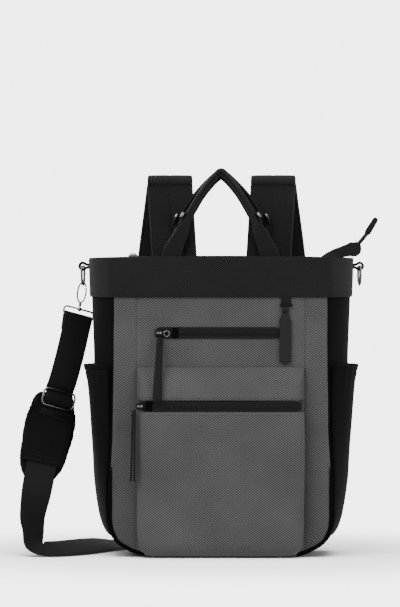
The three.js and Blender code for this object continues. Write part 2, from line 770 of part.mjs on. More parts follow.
function makeSideRings() {
  const nearEdge = (dRingBack - loopWidth / 2) / halfDepth;
  const bandFace = sidePoint(grown(sectionAt(loopLevel), gap + bandWall), nearEdge, 1).x;
  for (const [name, sign] of [['left', -1], ['right', 1]]) {
    const turn = dRingWire / 2 + loopEase + webbingWall / 2;
    const centre = vec(sign * ringBarX, dRingBack, loopLevel);
    const seat = sign * (bandFace + gap);
    const curve = arcPoints(centre, turn, Math.PI / 2, -Math.PI / 2, 6, vec(sign, 0, 0), vec(0, 0, 1));
    const path = [vec(seat, dRingBack, loopLevel + turn), ...curve, vec(seat, dRingBack, loopLevel - turn)];
    add(`ring_loop_${name}`, strip(path.map((point) => ({
      at: point, side: vec(0, 1, 0), width: loopWidth, thick: webbingWall,
    }))), 'webbing');

    const half = (dRingWidth - dRingWire) / 2;
    const drop = dRingHeight - dRingWire - half;
    const outline = [
      ...arcPoints(vec(half - 2, -2, 0), 2, Math.PI / 2, 0, 2, vec(1, 0, 0), vec(0, 1, 0)),
      ...arcPoints(vec(0, -drop, 0), half, 0, -Math.PI, 8, vec(1, 0, 0), vec(0, 1, 0)),
      ...arcPoints(vec(-half + 2, -2, 0), 2, Math.PI, Math.PI / 2, 2, vec(1, 0, 0), vec(0, 1, 0)),
    ];
    const ring = add(`d_ring_${name}`, wire(outline, dRingWire), 'nickel');
    ring.rotation.set(Math.PI / 2, 0, Math.PI / 2 + sign * ringTurn, 'ZYX');
    ring.position.set(sign * ringBarX, dRingBack, ringLevel);
  }
}

// A clip: a long hook with a sprung gate on a swivel, and the flat ring that carries the strap.
// Local -Z runs from the hook's top down to the strap. The swivel's centre lies swivelDrop below the top.
const gateFrom = -0.75;
const gateTo = 0.62;
const swivelBall = 3;
const neckLength = 5;
const swivelDrop = hookHeight - hookWire + neckLength + gap + swivelBall;
const clipRingWidth = strapWidth + 2 * ringWire + 0.8;

function hookPoint(angle) {
  return vec(Math.cos(angle) * (hookWidth - hookWire) / 2, Math.sin(angle) * (hookHeight - hookWire) / 2, 0);
}

function makeClip(name, hookFrame, ringFrame) {
  const centre = -(hookHeight - hookWire) / 2;
  const ease = 0.03;
  const hookArc = steps(gateTo + ease, gateFrom + 2 * Math.PI - ease, 18).map(hookPoint);
  const gateArc = steps(gateFrom + ease, gateTo - ease, 5).map(hookPoint);
  const stand = (geometry) => geometry.rotateX(Math.PI / 2).translate(0, 0, centre);
  const neck = disc(1.7, neckLength, 8).rotateX(Math.PI / 2).translate(0, 0, 2 * centre - neckLength / 2);
  const hook = joined([stand(wire(hookArc, hookWire, false)), neck]);
  add(`hook_${name}`, hook.applyMatrix4(hookFrame), 'nickel');
  add(`hook_gate_${name}`, stand(wire(gateArc, hookWire - 0.2, false)).applyMatrix4(hookFrame), 'nickel');
  const ringLine = roundedBox(clipRingWidth - ringWire, clipRingHeight - ringWire, 4);
  const ring = wire(ringLine, ringWire).rotateX(Math.PI / 2)
    .translate(0, 0, -(clipRingHeight - ringWire) / 2);
  const ball = new THREE.SphereGeometry(swivelBall, 10, 6);
  add(`hook_ring_${name}`, joined([ring, ball]).applyMatrix4(ringFrame), 'nickel');
}

function frameOf(origin, tilt, yaw, roll = 0) {
  const turn = new THREE.Matrix4().makeRotationFromEuler(new THREE.Euler(0, tilt, yaw, 'ZYX'));
  return turn.multiply(new THREE.Matrix4().makeRotationZ(roll)).setPosition(origin);
}

const hookTilt = 0.13;
const strapTilt = 0.25;
const strapYaw = 0.45;
const hookTop = vec(-ringBarX, dRingBack, ringLevel - dRingHeight + dRingWire
  + dRingWire / 2 + hookWire / 2 + gap);
const hookLean = vec(-Math.sin(hookTilt), 0, -Math.cos(hookTilt));
const swivelLeft = hookTop.clone().addScaledVector(hookLean, swivelDrop);
const leftHook = frameOf(hookTop, hookTilt, 0);
const leftRing = frameOf(swivelLeft, strapTilt, strapYaw);
const floorClipX = 46;
const floorStrapY = 110;
const swivelRight = vec(floorClipX, floorStrapY, ringWire / 2 + wireEase + strapWall + gap);
const rightRing = frameOf(swivelRight, Math.PI / 2, 0, Math.PI / 2);
const rightHook = rightRing.clone().setPosition(swivelRight.clone().add(vec(swivelDrop, 0, 0)));

// The clip-on strap, from the left ring through its slider and pad, round on the floor to the right ring.
// Positions are shares of the left swivel's height. across is the strap's direction from its left edge.
const strapRows = [
  { x: -0.7, y: 0.03, z: 0.53, across: [1, 0.1, -0.2] },
  { x: -0.722, y: 0.012, z: 0.42, across: [1, 0.05, -0.15] },
  { x: -0.742, y: -0.005, z: 0.33, across: [1, -0.1, -0.1] },
  { x: -0.758, y: -0.035, z: 0.25, across: [1, 0.1, 0] },
  { x: -0.766, y: -0.07, z: 0.165, across: [0.72, 0.68, 0.1] },
  { x: -0.768, y: -0.12, z: 0.1, across: [0.3, 0.9, 0.3] },
  { x: -0.757, y: -0.16, z: 0.053, across: [0.2, 0.9, 0.3] },
  { x: -0.725, y: -0.18, z: 0.033, across: [0.05, 0.9, 0.38] },
  { x: -0.66, y: -0.16, z: 0.031, across: [-0.57, 0.7, 0.42] },
  { x: -0.59, y: -0.07, z: 0.031, across: [-0.78, 0.46, 0.42] },
  { x: -0.53, y: 0.06, z: 0.03, across: [-0.83, 0.37, 0.4] },
  { x: -0.475, y: 0.19, z: 0.02, across: [-0.86, 0.47, 0.22] },
  { x: -0.4, y: 0.3, z: 0.012, across: [-0.61, 0.78, 0.1] },
  { x: -0.27, y: 0.352, z: 0.0055, across: [-0.19, 0.98, 0] },
  { x: -0.1, y: 0.359, z: 0.0045, across: [0, 1, 0] },
];

const weave = sliderHeight / 2 - ringWire / 2;
const pass = ringWire / 2 + wireEase + gap + strapWall / 2;
const strapEase = 12;
const strapHem = 50;

function swept(points, side, first = 0) {
  return points.map((point) => ({ at: point, side, width: strapWidth, thick: strapWall })).slice(first);
}

const strapSteps = 2;
const lyingStrap = finer(strapRows.map(({ x, y, z, across: [a, b, c] }) => ({
  at: vec(x, y, z).multiplyScalar(swivelLeft.z),
  side: vec(a, b, c).normalize(),
  width: strapWidth,
  thick: strapWall,
})), strapSteps);

function makeStrap() {
  makeClip('left', leftHook, leftRing);
  makeClip('right', rightHook, rightRing);
  const barDrop = clipRingHeight - ringWire;
  const turn = ringWire / 2 + wireEase + strapWall / 2;
  const loopOf = (frame) => {
    const local = (y, z) => vec(0, y, z).applyMatrix4(frame);
    const curve = steps(0, Math.PI, 6).map((angle) => local(
      turn * Math.cos(angle), -barDrop + turn * Math.sin(angle)));
    return { start: local(turn, -barDrop - 15), curve, side: vec(1, 0, 0).transformDirection(frame) };
  };
  const left = loopOf(leftRing);
  const right = loopOf(rightRing);
  const threaded = [
    [-turn, barDrop + strapEase], [-turn, barDrop + strapHem], [0, sliderDrop - weave - strapEase],
    [pass, sliderDrop - weave], [-pass, sliderDrop - 1.2], [-pass, sliderDrop + 1.2],
    [pass, sliderDrop + weave], [pass * 0.5, sliderDrop + weave + 8],
  ].map(([y, drop]) => vec(0, y, -drop).applyMatrix4(leftRing));
  const stations = [
    ...swept([left.start, ...left.curve, ...threaded], left.side),
    ...lyingStrap,
    ...swept([...right.curve.slice().reverse(), right.start], right.side),
  ];
  add('clip_strap', strip(stations, twistSides), 'webbing');

  const frame = wire(roundedBox(sliderFrameWidth - ringWire, sliderHeight - ringWire, 6), ringWire);
  const middle = disc(ringWire / 2, sliderFrameWidth - ringWire, 6).rotateZ(Math.PI / 2);
  add('strap_slider', joined([frame, middle]).rotateX(Math.PI / 2).translate(0, 0, -sliderDrop)
    .applyMatrix4(leftRing), 'nickel');
}

// Shoulder pad behind the strap, and the sleeve that holds the strap to it. at runs down the pad.
const padRows = [
  { at: 0, left: -0.34, right: 0.34 },
  { at: 0.06, left: -0.43, right: 0.42 },
  { at: 0.25, left: -0.5, right: 0.5 },
  { at: 0.5, left: -0.5, right: 0.5 },
  { at: 0.75, left: -0.48, right: 0.45 },
  { at: 0.92, left: -0.4, right: 0.36 },
  { at: 1, left: -0.3, right: 0.28 },
];

const sleeveWall = 1.2;
const sleeveWidth = 46;

// The place on a strip a share of its length from its start.
function placeOn(stations, share) {
  const lengths = stations.slice(1).map((station, i) => station.at.distanceTo(stations[i].at));
  let rest = share * lengths.reduce((sum, length) => sum + length, 0);
  let i = 0;
  while (i < lengths.length - 1 && rest > lengths[i]) {
    rest -= lengths[i];
    i += 1;
  }
  const t = rest / lengths[i];
  return {
    at: stations[i].at.clone().lerp(stations[i + 1].at, t),
    side: stations[i].side.clone().lerp(stations[i + 1].side, t),
  };
}

function layered(stations, offset) {
  return stations.map((station, i) => ({
    ...station,
    at: station.at.clone().addScaledVector(stripFrame(stations, i).up, offset),
  }));
}

function makePad() {
  const side = vec(1, 0, 0).transformDirection(leftRing);
  const held = [sliderDrop - 6, sliderDrop + weave + 4].map((drop) => ({
    at: vec(0, pass, -drop).applyMatrix4(leftRing), side,
  }));
  const path = [...held, ...lyingStrap.slice(0, 2 * strapSteps + 1)];
  const pad = padRows.map(({ at, left, right }) => {
    const place = placeOn(path, at);
    return {
      at: place.at.addScaledVector(place.side, (left + right) / 2 * padWidth),
      side: place.side,
      width: (right - left) * padWidth,
      thick: at === 0 || at === 1 ? padWall * 0.5 : padWall,
    };
  });
  const back = strapWall / 2 + 7 * gap + padWall / 2;
  add('shoulder_pad', strip(layered(pad, -back), flatSides), 'blackFabric');
  const sleeve = [0.36, 0.55, 0.72, 0.9].map((share) => ({
    ...placeOn(path, share), width: sleeveWidth, thick: sleeveWall,
  }));
  const front = strapWall / 2 + 3 * gap + sleeveWall / 2;
  add('pad_sleeve', strip(finer(layered(sleeve, front), 3), twistSides), 'blackFabric');
}

makeBody();
makeBand();
makeSidePockets();
makeFrontPocket();
makeTopClosure();
makeFrontDetails();
makeHandles();
makeShoulderStraps();
makeSideRings();
makeStrap();
makePad();

export default backpack;
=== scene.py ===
import json
import math
import bpy
import numpy as np
from mathutils import Matrix, Vector, noise


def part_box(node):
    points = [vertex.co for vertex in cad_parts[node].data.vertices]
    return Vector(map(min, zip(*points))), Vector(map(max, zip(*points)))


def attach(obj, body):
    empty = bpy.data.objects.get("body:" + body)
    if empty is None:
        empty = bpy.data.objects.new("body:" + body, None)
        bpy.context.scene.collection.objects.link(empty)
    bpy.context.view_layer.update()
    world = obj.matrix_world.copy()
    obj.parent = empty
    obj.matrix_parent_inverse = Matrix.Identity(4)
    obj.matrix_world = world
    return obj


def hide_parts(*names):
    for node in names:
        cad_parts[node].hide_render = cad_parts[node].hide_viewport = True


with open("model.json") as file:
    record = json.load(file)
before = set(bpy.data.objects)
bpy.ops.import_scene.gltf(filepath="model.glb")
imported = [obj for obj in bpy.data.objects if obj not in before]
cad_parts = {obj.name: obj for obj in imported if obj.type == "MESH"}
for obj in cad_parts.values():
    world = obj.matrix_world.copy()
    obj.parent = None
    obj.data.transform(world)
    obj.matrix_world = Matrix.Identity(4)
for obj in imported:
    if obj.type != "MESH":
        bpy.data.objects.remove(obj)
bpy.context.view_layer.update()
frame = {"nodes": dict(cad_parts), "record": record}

mm = 0.001
nodes = frame["nodes"]
print("frame loaded", len(nodes), "nodes")

# Camera and studio

camera = {"x": 0.05, "height": 0.40, "distance": 6.0, "lens": 284.4, "farthest": 50,
          "aim": (-0.0255, -0.065, 0.3143)}

studio = {
    "background": "#F7F5F5",
    "glow": 5.0,
    "ambient": 0.5,
    "shine": 0.75,
    "floorReach": 20,
    "aim": (0, 0, 0.25),
    "paperLight": {"watts": 175, "size": 2.6, "place": (0.0, -0.7, 2.4), "aim": (0, -0.1, 0)},
    "fadeFrom": 0.22,
    "fadeTo": 0.6,
    "lights": [
        {"name": "keyLight", "place": (-1.6, -2.6, 2.3), "size": (1.8, 1.8), "watts": 38},
        {"name": "fillLight", "place": (2.2, -2.4, 1.2), "size": (1.6, 2.0), "watts": 18},
        {"name": "topLight", "place": (0.0, 0.2, 2.6), "size": (2.2, 1.6), "watts": 11},
        {"name": "sideLeft", "place": (-2.4, 0.6, 0.9), "size": (0.8, 1.8), "watts": 3.5},
        {"name": "sideRight", "place": (2.4, 0.8, 0.9), "size": (0.8, 1.8), "watts": 3.5},
        {"name": "backLight", "place": (-1.2, 2.8, 1.4), "size": (1.6, 1.6), "watts": 22},
    ],
}


def aimed(name, data, place, aim):
    holder = bpy.data.objects.new(name, data)
    bpy.context.scene.collection.objects.link(holder)
    holder.location = place
    holder.rotation_euler = (Vector(aim) - Vector(place)).to_track_quat("-Z", "Y").to_euler()
    return holder


def makeCamera():
    data = bpy.data.cameras.new("camera")
    data.lens = camera["lens"]
    data.clip_end = camera["farthest"]
    place = (camera["x"], -camera["distance"], camera["height"])
    bpy.context.scene.camera = aimed("camera", data, place, camera["aim"])


def toLinear(code):
    values = [int(code[i:i + 2], 16) / 255 for i in (1, 3, 5)]
    return tuple(v / 12.92 if v <= 0.04045 else ((v + 0.055) / 1.055) ** 2.4 for v in values) + (1.0,)


def addNode(tree, kind, settings=None, links=None):
    node = tree.nodes.new(kind)
    for name, value in (settings or {}).items():
        if isinstance(name, int) or name in node.inputs:
            node.inputs[name].default_value = value
        else:
            setattr(node, name, value)
    for name, source in (links or {}).items():
        tree.links.new(source, node.inputs[name])
    return node


def newMaterial(name):
    material = bpy.data.materials.new(name)
    material.use_nodes = True
    tree = material.node_tree
    tree.nodes.clear()
    shader = addNode(tree, "ShaderNodeBsdfPrincipled")
    addNode(tree, "ShaderNodeOutputMaterial", links={"Surface": shader.outputs[0]})
    return material, tree, shader


def makeStudio():
    world = bpy.data.worlds.new("studioWorld")
    world.use_nodes = True
    tree = world.node_tree
    paper = toLinear(studio["background"])
    around = tree.nodes["Background"]
    around.inputs["Color"].default_value = paper
    around.inputs["Strength"].default_value = studio["ambient"]
    # The backdrop that the camera sees is lit apart from the bag
    seen = addNode(tree, "ShaderNodeBackground", {"Color": paper, "Strength": studio["glow"]})
    rays = addNode(tree, "ShaderNodeLightPath")
    bright = addNode(tree, "ShaderNodeBackground", {"Color": paper, "Strength": studio["shine"]})
    inShine = addNode(tree, "ShaderNodeMixShader", links={
        0: rays.outputs["Is Glossy Ray"], 1: around.outputs[0], 2: bright.outputs[0]})
    both = addNode(tree, "ShaderNodeMixShader", links={
        0: rays.outputs["Is Camera Ray"], 1: inShine.outputs[0], 2: seen.outputs[0]})
    tree.links.new(both.outputs[0], tree.nodes["World Output"].inputs["Surface"])
    bpy.context.scene.world = world
    for light in studio["lights"]:
        data = bpy.data.lights.new(light["name"], "AREA")
        data.shape = "RECTANGLE"
        data.size, data.size_y = light["size"]
        data.energy = light["watts"]
        aimed(light["name"], data, light["place"], studio["aim"])

    # Paper floor, which fades into the background away from the bag
    material, tree, shader = newMaterial("paperFloor")
    shader.inputs["Base Color"].default_value = toLinear(studio["background"])
    shader.inputs["Roughness"].default_value = 1.0
    shader.inputs["Specular IOR Level"].default_value = 0.0
    place = addNode(tree, "ShaderNodeTexCoord")
    far = addNode(tree, "ShaderNodeVectorMath", {"operation": "LENGTH"}, {0: place.outputs["Object"]})
    fade = addNode(tree, "ShaderNodeMapRange", {
        "From Min": studio["fadeFrom"], "From Max": studio["fadeTo"], "interpolation_type": "SMOOTHSTEP",
    }, {"Value": far.outputs["Value"]})
    paper = addNode(tree, "ShaderNodeEmission", {
        "Color": toLinear(studio["background"]), "Strength": studio["glow"]})
    mixed = addNode(tree, "ShaderNodeMixShader", links={
        0: fade.outputs[0], 1: shader.outputs[0], 2: paper.outputs[0]})
    tree.links.new(mixed.outputs[0], tree.nodes["Material Output"].inputs["Surface"])
    mesh = bpy.data.meshes.new("floor")
    reach = studio["floorReach"]
    corners = [(x * reach, y * reach, 0) for x, y in ((-1, -1), (1, -1), (1, 1), (-1, 1))]
    mesh.from_pydata(corners, [], [(0, 1, 2, 3)])
    mesh.materials.append(material)
    floor = bpy.data.objects.new("floor", mesh)
    bpy.context.scene.collection.objects.link(floor)
    floor.visible_diffuse = False
    floor.visible_glossy = False

    # A light for the paper alone, in which the bag still casts its shadow
    data = bpy.data.lights.new("paperLight", "AREA")
    data.shape = "RECTANGLE"
    given = studio["paperLight"]
    data.size = data.size_y = given["size"]
    data.energy = given["watts"]
    light = aimed("paperLight", data, given["place"], given["aim"])
    lit = bpy.data.collections.new("paperOnly")
    lit.objects.link(floor)
    light.light_linking.receiver_collection = lit


makeCamera()
makeStudio()
print("studio ready")

# Materials. Cloth patterns are drawn in metres on each piece's own cloth map.

materials = {}

clothLooks = {
    # Polyester twill woven in two shades of thread, matt, with a pattern that stands out of the cloth.
    # The threads are too fine to show, and the pitch is that of the pattern
    "greyTwill": {"dark": "#1D1D1E", "light": "#8C8C8C", "pitch": 3.4 * mm, "bump": 0.7, "rough": 0.7,
                  "gloss": 0.2},
    "blackTwill": {"dark": "#000000", "light": "#333334", "pitch": 3.4 * mm, "bump": 0.7, "rough": 0.65,
                   "gloss": 0.2},
    # Plain-woven polyester, black and nearly flat, on the pad and the back panel
    "padCloth": {"dark": "#0C0C0D", "light": "#1B1B1C", "pitch": 0.9 * mm, "bump": 0.15, "rough": 0.75,
                 "gloss": 0.12},
    # The same cloth in a deeper black, on the sides, the base and the zip panels
    "blackPlain": {"dark": "#020203", "light": "#080809", "pitch": 0.9 * mm, "bump": 0.15, "rough": 0.75,
                   "gloss": 0.08},
}
weave = {"across": 0.85, "along": 1.15, "dots": 0.75, "ribs": 0.25, "wear": 0.35, "wearScale": 14.0,
         "height": 0.25 * mm, "sheen": 0.05, "sheenRough": 0.5}


def clothMaterial(name, look):
    material, tree, shader = newMaterial(name)
    cloth = addNode(tree, "ShaderNodeUVMap", {"uv_map": "cloth"})
    split = addNode(tree, "ShaderNodeSeparateXYZ", links={0: cloth.outputs[0]})

    def maths(operation, a, b=None):
        node = addNode(tree, "ShaderNodeMath", {"operation": operation})
        for i, value in enumerate((a, b)):
            if value is None:
                continue
            if isinstance(value, (int, float)):
                node.inputs[i].default_value = value
            else:
                tree.links.new(value, node.inputs[i])
        return node.outputs[0]

    turn = 2 * math.pi / look["pitch"]
    across = maths("MULTIPLY", split.outputs[0], turn * weave["across"])
    along = maths("MULTIPLY", split.outputs[1], turn * weave["along"])
    rising = maths("SINE", maths("MULTIPLY", maths("ADD", across, along), 0.5))
    falling = maths("SINE", maths("MULTIPLY", maths("SUBTRACT", across, along), 0.5))
    dots = maths("ABSOLUTE", maths("MULTIPLY", rising, falling))
    ribs = maths("MULTIPLY", maths("ABSOLUTE", rising), weave["ribs"])
    twill = maths("ADD", maths("MULTIPLY", dots, weave["dots"]), ribs)
    wear = addNode(tree, "ShaderNodeTexNoise", {"Scale": weave["wearScale"], "Detail": 4.0}, {
        "Vector": cloth.outputs[0]})
    uneven = maths("MULTIPLY", maths("SUBTRACT", wear.outputs[0], 0.5), weave["wear"])
    shade = maths("ADD", twill, uneven)
    colour = addNode(tree, "ShaderNodeMix", {
        "data_type": "RGBA", "clamp_factor": True, 6: toLinear(look["dark"]), 7: toLinear(look["light"]),
    }, {0: shade})
    tree.links.new(colour.outputs[2], shader.inputs["Base Color"])
    bump = addNode(tree, "ShaderNodeBump", {"Strength": look["bump"], "Distance": weave["height"]}, {
        "Height": twill})
    tree.links.new(bump.outputs[0], shader.inputs["Normal"])
    shader.inputs["Roughness"].default_value = look["rough"]
    shader.inputs["Specular IOR Level"].default_value = look["gloss"]
    shader.inputs["Sheen Weight"].default_value = weave["sheen"]
    shader.inputs["Sheen Roughness"].default_value = weave["sheenRough"]
    materials[name] = material


grainLooks = {
    # Smooth black cowhide with fine pores and a low gloss; cells is how many pores lie in a metre
    "leather": {"colour": "#0A0A0B", "rough": 0.5, "cells": 1400, "bump": 0.25, "gloss": 0.24},
    # The same hide on the key tab, a little lighter and glossier
    "tagLeather": {"colour": "#1E1E1F", "rough": 0.5, "cells": 1400, "bump": 0.25, "gloss": 0.35},
    # Nickel-plated zinc, polished and bright
    "polishedNickel": {"colour": "#8C8D90", "rough": 0.22, "cells": 300, "bump": 0.02, "metallic": 1.0},
    # Black nickel plating, a little duller
    "darkNickel": {"colour": "#2B2B2D", "rough": 0.3, "cells": 300, "bump": 0.02, "metallic": 1.0},
    # Spun polyester sewing thread, matt
    "thread": {"colour": "#2A2A2D", "rough": 0.6, "cells": 2500, "bump": 0.2},
    "greyThread": {"colour": "#505155", "rough": 0.6, "cells": 2500, "bump": 0.2},
    # Nylon zip coil, smooth and half glossy
    "nylonCoil": {"colour": "#0C0C0D", "rough": 0.35, "cells": 500, "bump": 0.05},
    # Injection-moulded acetal, on the ladder locks
    "mouldedAcetal": {"colour": "#131315", "rough": 0.42, "cells": 800, "bump": 0.1},
}


def grainMaterial(name, look):
    material, tree, shader = newMaterial(name)
    place = addNode(tree, "ShaderNodeTexCoord")
    grain = addNode(tree, "ShaderNodeTexVoronoi", {"Scale": look["cells"]}, {
        "Vector": place.outputs["Object"]})
    height = addNode(tree, "ShaderNodeBump", {"Strength": look["bump"], "Distance": 0.2 * mm}, {
        "Height": grain.outputs["Distance"]})
    tree.links.new(height.outputs[0], shader.inputs["Normal"])
    shader.inputs["Base Color"].default_value = toLinear(look["colour"])
    shader.inputs["Roughness"].default_value = look["rough"]
    shader.inputs["Metallic"].default_value = look.get("metallic", 0.0)
    shader.inputs["Specular IOR Level"].default_value = look.get("gloss", 0.5)
    materials[name] = material


# Woven polyester webbing, ribbed across its length, with ribs 1.4 mm apart
webbingLook = {"colour": "#18181A", "rough": 0.75, "gloss": 0.3, "pitch": 1.4 * mm, "bump": 0.3}


def ribbedMaterial(name, look):
    material, tree, shader = newMaterial(name)
    cloth = addNode(tree, "ShaderNodeUVMap", {"uv_map": "cloth"})
    turned = addNode(tree, "ShaderNodeMapping", {"Rotation": (0, 0, math.radians(45))}, {
        "Vector": cloth.outputs[0]})
    ribs = addNode(tree, "ShaderNodeTexWave", {"Scale": 0.32 / look["pitch"], "bands_direction": "X"}, {
        "Vector": turned.outputs[0]})
    height = addNode(tree, "ShaderNodeBump", {"Strength": look["bump"], "Distance": 0.25 * mm}, {
        "Height": ribs.outputs["Fac"]})
    tree.links.new(height.outputs[0], shader.inputs["Normal"])
    shader.inputs["Base Color"].default_value = toLinear(look["colour"])
    shader.inputs["Roughness"].default_value = look["rough"]
    shader.inputs["Specular IOR Level"].default_value = look["gloss"]
    materials[name] = material


for materialName, look in clothLooks.items():
    clothMaterial(materialName, look)
for materialName, look in grainLooks.items():
    grainMaterial(materialName, look)
ribbedMaterial("webbing", webbingLook)

slotLooks = {
    "grey_fabric": "greyTwill", "black_fabric": "blackPlain", "webbing": "webbing",
    "leather": "leather", "nickel": "polishedNickel", "plastic": "mouldedAcetal",
}
for part in frame["record"]["subparts"]:
    node = nodes[part["node"]]
    node.data.materials.clear()
    node.data.materials.append(materials[slotLooks[part["material_slot"]]])
print("materials ready")

# Meshes. All sizes from here on are millimetres, turned into metres as a mesh is made.


def makeMesh(name, points, faces, cloth, material, nodeNames=(), body="bag", slot=None, sharp=0.7):
    mesh = bpy.data.meshes.new(name)
    mesh.from_pydata([tuple(p) for p in np.asarray(points) * mm], [], faces)
    mesh.polygons.foreach_set("use_smooth", [True] * len(mesh.polygons))
    if cloth is not None:
        layer = mesh.uv_layers.new(name="cloth")
        corners = np.zeros(len(mesh.loops), int)
        mesh.loops.foreach_get("vertex_index", corners)
        layer.data.foreach_set("uv", (np.asarray(cloth)[corners] * mm).ravel())
    mesh.materials.append(materials[material])
    mesh.set_sharp_from_angle(angle=sharp)
    piece = bpy.data.objects.new(name, mesh)
    bpy.context.scene.collection.objects.link(piece)
    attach(piece, body)
    if nodeNames:
        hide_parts(*nodeNames)
    return piece


def unit(v):
    v = np.asarray(v, float)
    return v / np.maximum(np.linalg.norm(v, axis=-1, keepdims=True), 1e-9)


def gridNormals(grid):
    return unit(np.cross(np.gradient(grid, axis=1), np.gradient(grid, axis=0)))


def lengthsAlong(grid, axis):
    steps = np.linalg.norm(np.diff(grid, axis=axis), axis=-1)
    start = np.zeros_like(np.take(steps, [0], axis=axis))
    return np.cumsum(np.concatenate([start, steps], axis=axis), axis=axis)


def shell(name, grid, wall, material, nodeNames=(), **more):
    # Closed wall behind a grid of outer points, whose columns run to the right and rows up
    grid = np.asarray(grid, float)
    rows, columns = grid.shape[:2]
    inner = grid - gridNormals(grid) * wall
    u = lengthsAlong(grid, 1)
    v = lengthsAlong(grid, 0)
    u = u - u[:, [columns // 2]]
    cloth = np.stack([u, v[:, [columns // 2]] + 0 * u], -1).reshape(-1, 2)
    count = rows * columns

    def at(i, j, side=0):
        return side * count + i * columns + j

    faces = []
    for i in range(rows - 1):
        for j in range(columns - 1):
            faces.append((at(i, j), at(i, j + 1), at(i + 1, j + 1), at(i + 1, j)))
            faces.append((at(i, j, 1), at(i + 1, j, 1), at(i + 1, j + 1, 1), at(i, j + 1, 1)))
        last = columns - 1
        faces.append((at(i, 0), at(i + 1, 0), at(i + 1, 0, 1), at(i, 0, 1)))
        faces.append((at(i, last), at(i, last, 1), at(i + 1, last, 1), at(i + 1, last)))
    for j in range(columns - 1):
        top = rows - 1
        faces.append((at(0, j), at(0, j, 1), at(0, j + 1, 1), at(0, j + 1)))
        faces.append((at(top, j), at(top, j + 1), at(top, j + 1, 1), at(top, j, 1)))
    points = np.concatenate([grid.reshape(-1, 3), inner.reshape(-1, 3)])
    return makeMesh(name, points, faces, np.concatenate([cloth, cloth]), material, nodeNames, **more)


def tube(name, rings, material, nodeNames=(), **more):
    # Closed solid through rings of points that run anticlockwise seen from its far end
    rings = np.asarray(rings, float)
    count, sides = rings.shape[:2]
    faces = [
        (i * sides + j, i * sides + (j + 1) % sides, (i + 1) * sides + (j + 1) % sides, (i + 1) * sides + j)
        for i in range(count - 1) for j in range(sides)
    ]
    faces.append(tuple(reversed(range(sides))))
    faces.append(tuple((count - 1) * sides + j for j in range(sides)))
    cloth = np.stack([lengthsAlong(rings, 1), lengthsAlong(rings, 0)[:, [0]] + np.zeros((count, sides))], -1)
    return makeMesh(name, rings.reshape(-1, 3), faces, cloth.reshape(-1, 2), material, nodeNames, **more)


def catmull(rows, count):
    # Smooth rows through the given ones, count for each step
    rows = np.asarray(rows, float)
    padded = np.concatenate([[2 * rows[0] - rows[1]], rows, [2 * rows[-1] - rows[-2]]])
    out = []
    for i in range(len(rows) - 1):
        a, b, c, d = padded[i:i + 4]
        for k in range(count):
            t = k / count
            out.append(b + 0.5 * t * (c - a + t * (2 * a - 5 * b + 4 * c - d + t * (3 * (b - c) + d - a))))
    return np.array(out + [rows[-1]])


def pathFrame(at, side):
    # Directions across a strip and out of it, at each point of its path
    along = unit(np.gradient(at, axis=0))
    side = np.asarray(side, float)
    wide = unit(side - along * np.sum(side * along, axis=-1, keepdims=True))
    return wide, np.cross(along, wide)


def ribbon(name, at, side, width, thick, section, material, nodeNames=(), **more):
    # Strip whose section is a list of places across it and out of it, as shares of its half sizes
    at = np.asarray(at, float)
    wide, up = pathFrame(at, side)
    width = np.broadcast_to(np.asarray(width, float), (len(at),))[:, None, None] / 2
    thick = np.broadcast_to(np.asarray(thick, float), (len(at),))[:, None, None] / 2
    section = np.asarray(section, float)
    if section.ndim == 2:
        section = np.broadcast_to(section, (len(at),) + section.shape)
    rings = at[:, None] + wide[:, None] * section[:, :, :1] * width + up[:, None] * section[:, :, 1:] * thick
    return tube(name, rings, material, nodeNames, **more)


def flatSection(across=9, edge=0.12, puff=0.0, grooves=(), depth=0.25, grooveWidth=0.05):
    # Round-edged section, fuller towards its middle by puff, with stitched grooves across its width
    a = np.sin(np.linspace(-1, 1, across) * math.pi / 2)
    a = np.sort(np.concatenate([a, [g + s * grooveWidth for g in grooves for s in (-1, 0, 1)]]))
    height = (1 - puff) + puff * (1 - a ** 2)
    fall = np.clip((1 - np.abs(a)) / edge, 0, 1)
    height = height * np.sqrt(np.clip(1 - (1 - fall) ** 2, 0.05, 1))
    for g in grooves:
        height = height * (1 - depth * np.exp(-((a - g) / (grooveWidth * 0.6)) ** 2))
    top = np.stack([a, height], -1)[::-1]
    bottom = np.stack([a, -height], -1)
    return np.concatenate([top, bottom])


def wrinkled(grid, amount, size, seed=0.0, mask=None, stretch=(1, 1, 1)):
    # The grid pushed in and out by smooth noise, amount at most
    normals = gridNormals(grid)
    push = np.array([[noise.noise(Vector(p * stretch) / size + Vector((seed, seed, seed))) for p in row]
                     for row in grid])
    if mask is not None:
        push = push * mask
    return grid + normals * (push * amount)[..., None]


def seamRoll(grid, depth=0.8, reach=2.0, sides="lrbt"):
    # Edges of a sewn panel that turn in at their seams
    u, v = lengthsAlong(grid, 1), lengthsAlong(grid, 0)
    far = {"l": u, "r": u[:, [-1]] - u, "b": v, "t": v[[-1]] - v}
    fall = sum(np.exp(-(far[side] / reach) ** 2) for side in sides)
    return grid - gridNormals(grid) * (np.minimum(fall, 1) * depth)[..., None]


swelling = {"voxel": 2.5, "pressure": 4.0, "frames": 20}


